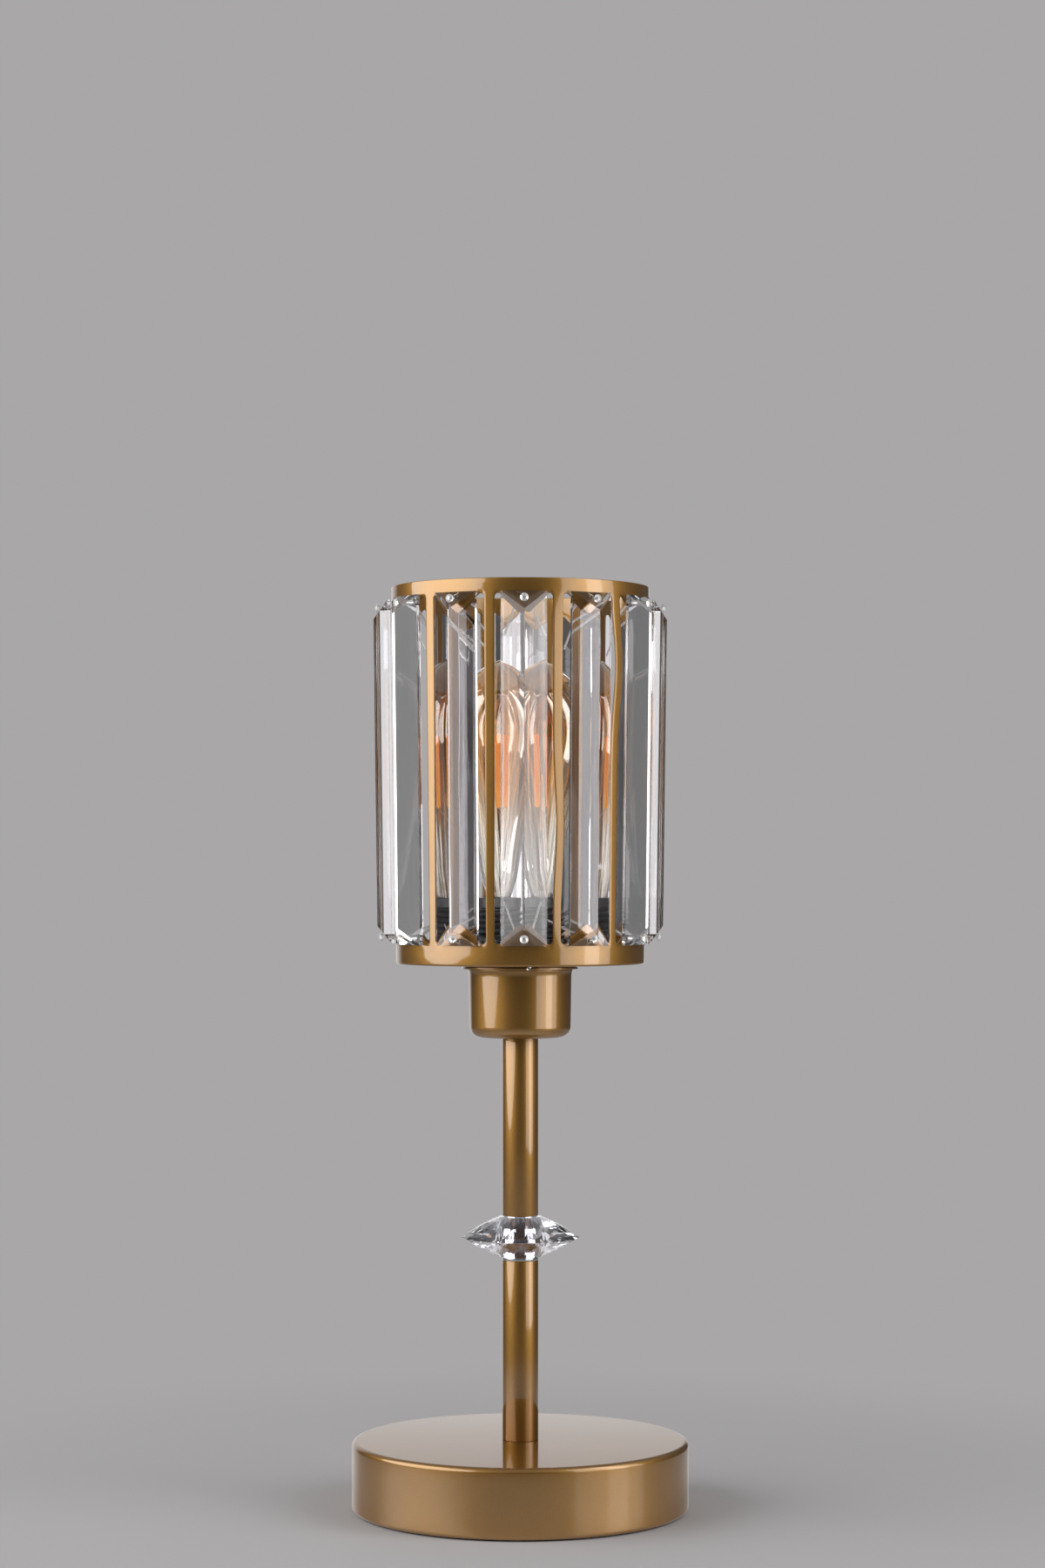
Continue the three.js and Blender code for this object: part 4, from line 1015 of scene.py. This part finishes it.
piece("bulb_envelope", bulb_skin, lustre, "amber_glass", "bulb_glass", body="bulb")

# Bulb cap: rolled brass, nickel plated to a dull silver, on a glossy black glass insulator. The tip contact
# is nickel plated too, and rides with the bulb's lift alone. Heights are over the tip's plane.
nickel = mottled("nickel_plated_brass", 4, "B5B1A8", "CBC8C0", 3.0, gloss=(0.2, 0.38), Metallic=1.0)
black_glass = mottled("black_cap_glass", 3, "0C0B12", "17151C", Roughness=0.12, IOR=1.6)

cap_crest = 13.2
cap_depth = 1.15
cap_pitch = 3.629
cap_thread_foot = 6.0
cap_thread_top = 22.0
cap_length = 27.0
cap_lip = 0.2
cap_fit = 0.3
skirt = 13.1
cap_hollow = cap_crest - cap_depth - 1
cap_floor = cap_thread_foot + 1
insulator_foot = 1.4
insulator_rim = 4.8
insulator_brim = 10.5
insulator_top = cap_thread_foot - 1
cap_rows = [
    (0, insulator_foot),
    (insulator_rim, insulator_foot),
    (insulator_brim, insulator_top),
    *thread_rows(cap_crest, cap_depth, cap_pitch, cap_thread_foot, cap_thread_top, 0, 72),
    (skirt, cap_thread_top + cap_fit),
    *arc(skirt - cap_lip, cap_length - cap_lip, cap_lip, 0, 90, 3),
    (neck_radius + cap_fit, cap_length),
    (neck_radius + cap_fit, neck_foot - cap_fit),
    (cap_hollow, cap_thread_top - 1),
    (cap_hollow, cap_floor),
    (0, cap_floor),
]
cap_points, cap_faces = turned(cap_rows, 72)
cap_skin = [(cap_points + [0, 0, tip_plane], cap_faces)]
cap = piece("bulb_screw_cap", cap_skin, nickel, "nickel", "bulb_cap", body="bulb")
cap.data.materials.append(black_glass)
heights = np.empty(len(cap.data.polygons) * 3)
cap.data.polygons.foreach_get("center", heights)
in_glass = heights[2::3] < (tip_plane + insulator_top - cap_lip) * MM
cap.data.polygons.foreach_set("material_index", in_glass.astype(np.int32))

tip_edge = 0.6
tip_outline = joined(
    [[0, tip_plane]],
    arc(tip_high[0] - tip_edge, tip_plane + tip_edge, tip_edge, -90, 0, 5),
    [[tip_high[0], tip_high[2]], [0, tip_high[2]]],
)
tip_skin = [turned(tip_outline, 48, closed=False)]
piece("bulb_tip_contact", tip_skin, nickel, "nickel", "bulb_tip", body="bulb_carrier")

# Filament mount: a clear drawn glass stem flared to the neck, nickel wires sealed into it, and four strips of
# light-emitting filament that lean outwards to the top, under an orange silicone coat with a soft glow.
stem_glass = mottled("drawn_stem_glass", 5, "F3F4F2", "FCFCFC", 1.0, IOR=1.54, **clear_glass)

stem_top = 66.0
stem_end = 1.0
stem_radius = 3.0
flare_radius = neck_radius - glass_wall - 0.3
flare_foot = neck_foot + glass_wall
flare_length = 20.0
flare_ends = np.array(
    [[flare_radius, flare_foot], [stem_radius, flare_foot], [stem_radius, neck_foot + flare_length]]
)
stem_outline = joined(
    [[0, neck_foot], [flare_radius, neck_foot]],
    bent(*flare_ends, 12),
    arc(stem_radius - stem_end, stem_top - stem_end, stem_end, 0, 90, 4),
    [[0, stem_top]],
) + [0, tip_plane]
stem_skin = [turned(stem_outline, 48, closed=False)]
piece("bulb_stem", stem_skin, stem_glass, "filament", "filament_mount", body="bulb")

strip_count = 4
strip_foot = stem_top + 7
strip_length = 32.5
strip_radius = 1.4
strip_foot_radius = 13.2
strip_head_radius = 13.9
wire_radius = 0.22
rod_radius = 0.4
meeting = np.array([0, 0, tip_plane + strip_foot + strip_length + 4])
root = np.array([0, 0, tip_plane + stem_top - 2])
strips = []
wires = [drawn_along([root, (root + meeting) / 2, meeting], [rod_radius] * 3, 8)]
# Shares of a strip's and a wire's length, and the radius there as a share of the full one.
strip_run = np.array([[0, 0.004, 0.03, 0.25, 0.5, 0.75, 0.97, 0.996, 1], [0, 0.6, 1, 1, 1, 1, 1, 0.6, 0]])
wire_run = np.array([[0, 0.02, 0.5, 0.98, 1], [0, 1, 1, 1, 0]])
for angle in (np.arange(strip_count) + 0.5) * 2 * np.pi / strip_count:
    foot = around(strip_foot_radius, angle, tip_plane + strip_foot)
    head = around(strip_head_radius, angle, tip_plane + strip_foot + strip_length)
    strips.append(drawn_along(foot + strip_run[0][:, None] * (head - foot), strip_radius * strip_run[1], 12))
    for start, end in ((root, foot), (head, meeting)):
        wire = start + wire_run[0][:, None] * (end - start)
        wires.append(drawn_along(wire, wire_radius * wire_run[1], 8))
piece("filament_wires", wires, nickel, "filament", "filament_mount", body="bulb")

silicone, tree, shader, place = material(
    "orange_filament_silicone", Roughness=0.55, Subsurface_Weight=0.3, Emission_Strength=0.9
)
_, glow = mottle(tree, place, 1.2, "EE9424", "FAAC40")
for socket in ("Base Color", "Emission Color"):
    tree.links.new(glow, shader.inputs[socket])
piece("filament_strips", strips, silicone, "filament", "filament_mount", body="bulb")


# Pieces that the lamp hides: cast weight, flange nut, tie rod and the lampholder's inside. They keep their
# CAD shape and get the finish that the real ones have.
def finished(made, *nodes):
    """Puts a material on CAD nodes in place of the one that they came with."""
    for node in nodes:
        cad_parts[node].material_slots[0].material = made


# Grey cast iron, as cast: a sand skin with dark and light grains about 1 mm across.
iron = mottled("cast_iron", 1.2, "2F2E2D", "55524F", 5.0, relief=(0.7, 0.2), Metallic=0.6, Roughness=0.75)
finished(iron, "base_weight")

# Zinc-plated steel with a pale passivated bloom.
zinc = mottled("zinc_plated_steel", 5, "A3A4A0", "BDBCB2", 3.0, gloss=(0.3, 0.5), Metallic=1.0)
finished(zinc, "base_nut", "threaded_rod")

# Stamped brass, lightly tarnished.
brass = mottled("stamped_brass", 6, "A5823C", "C9A85E", 3.0, gloss=(0.25, 0.42), Metallic=1.0)
finished(brass, "screw_sleeve", "centre_contact")
finished(bakelite, "holder_base", "holder_insert")
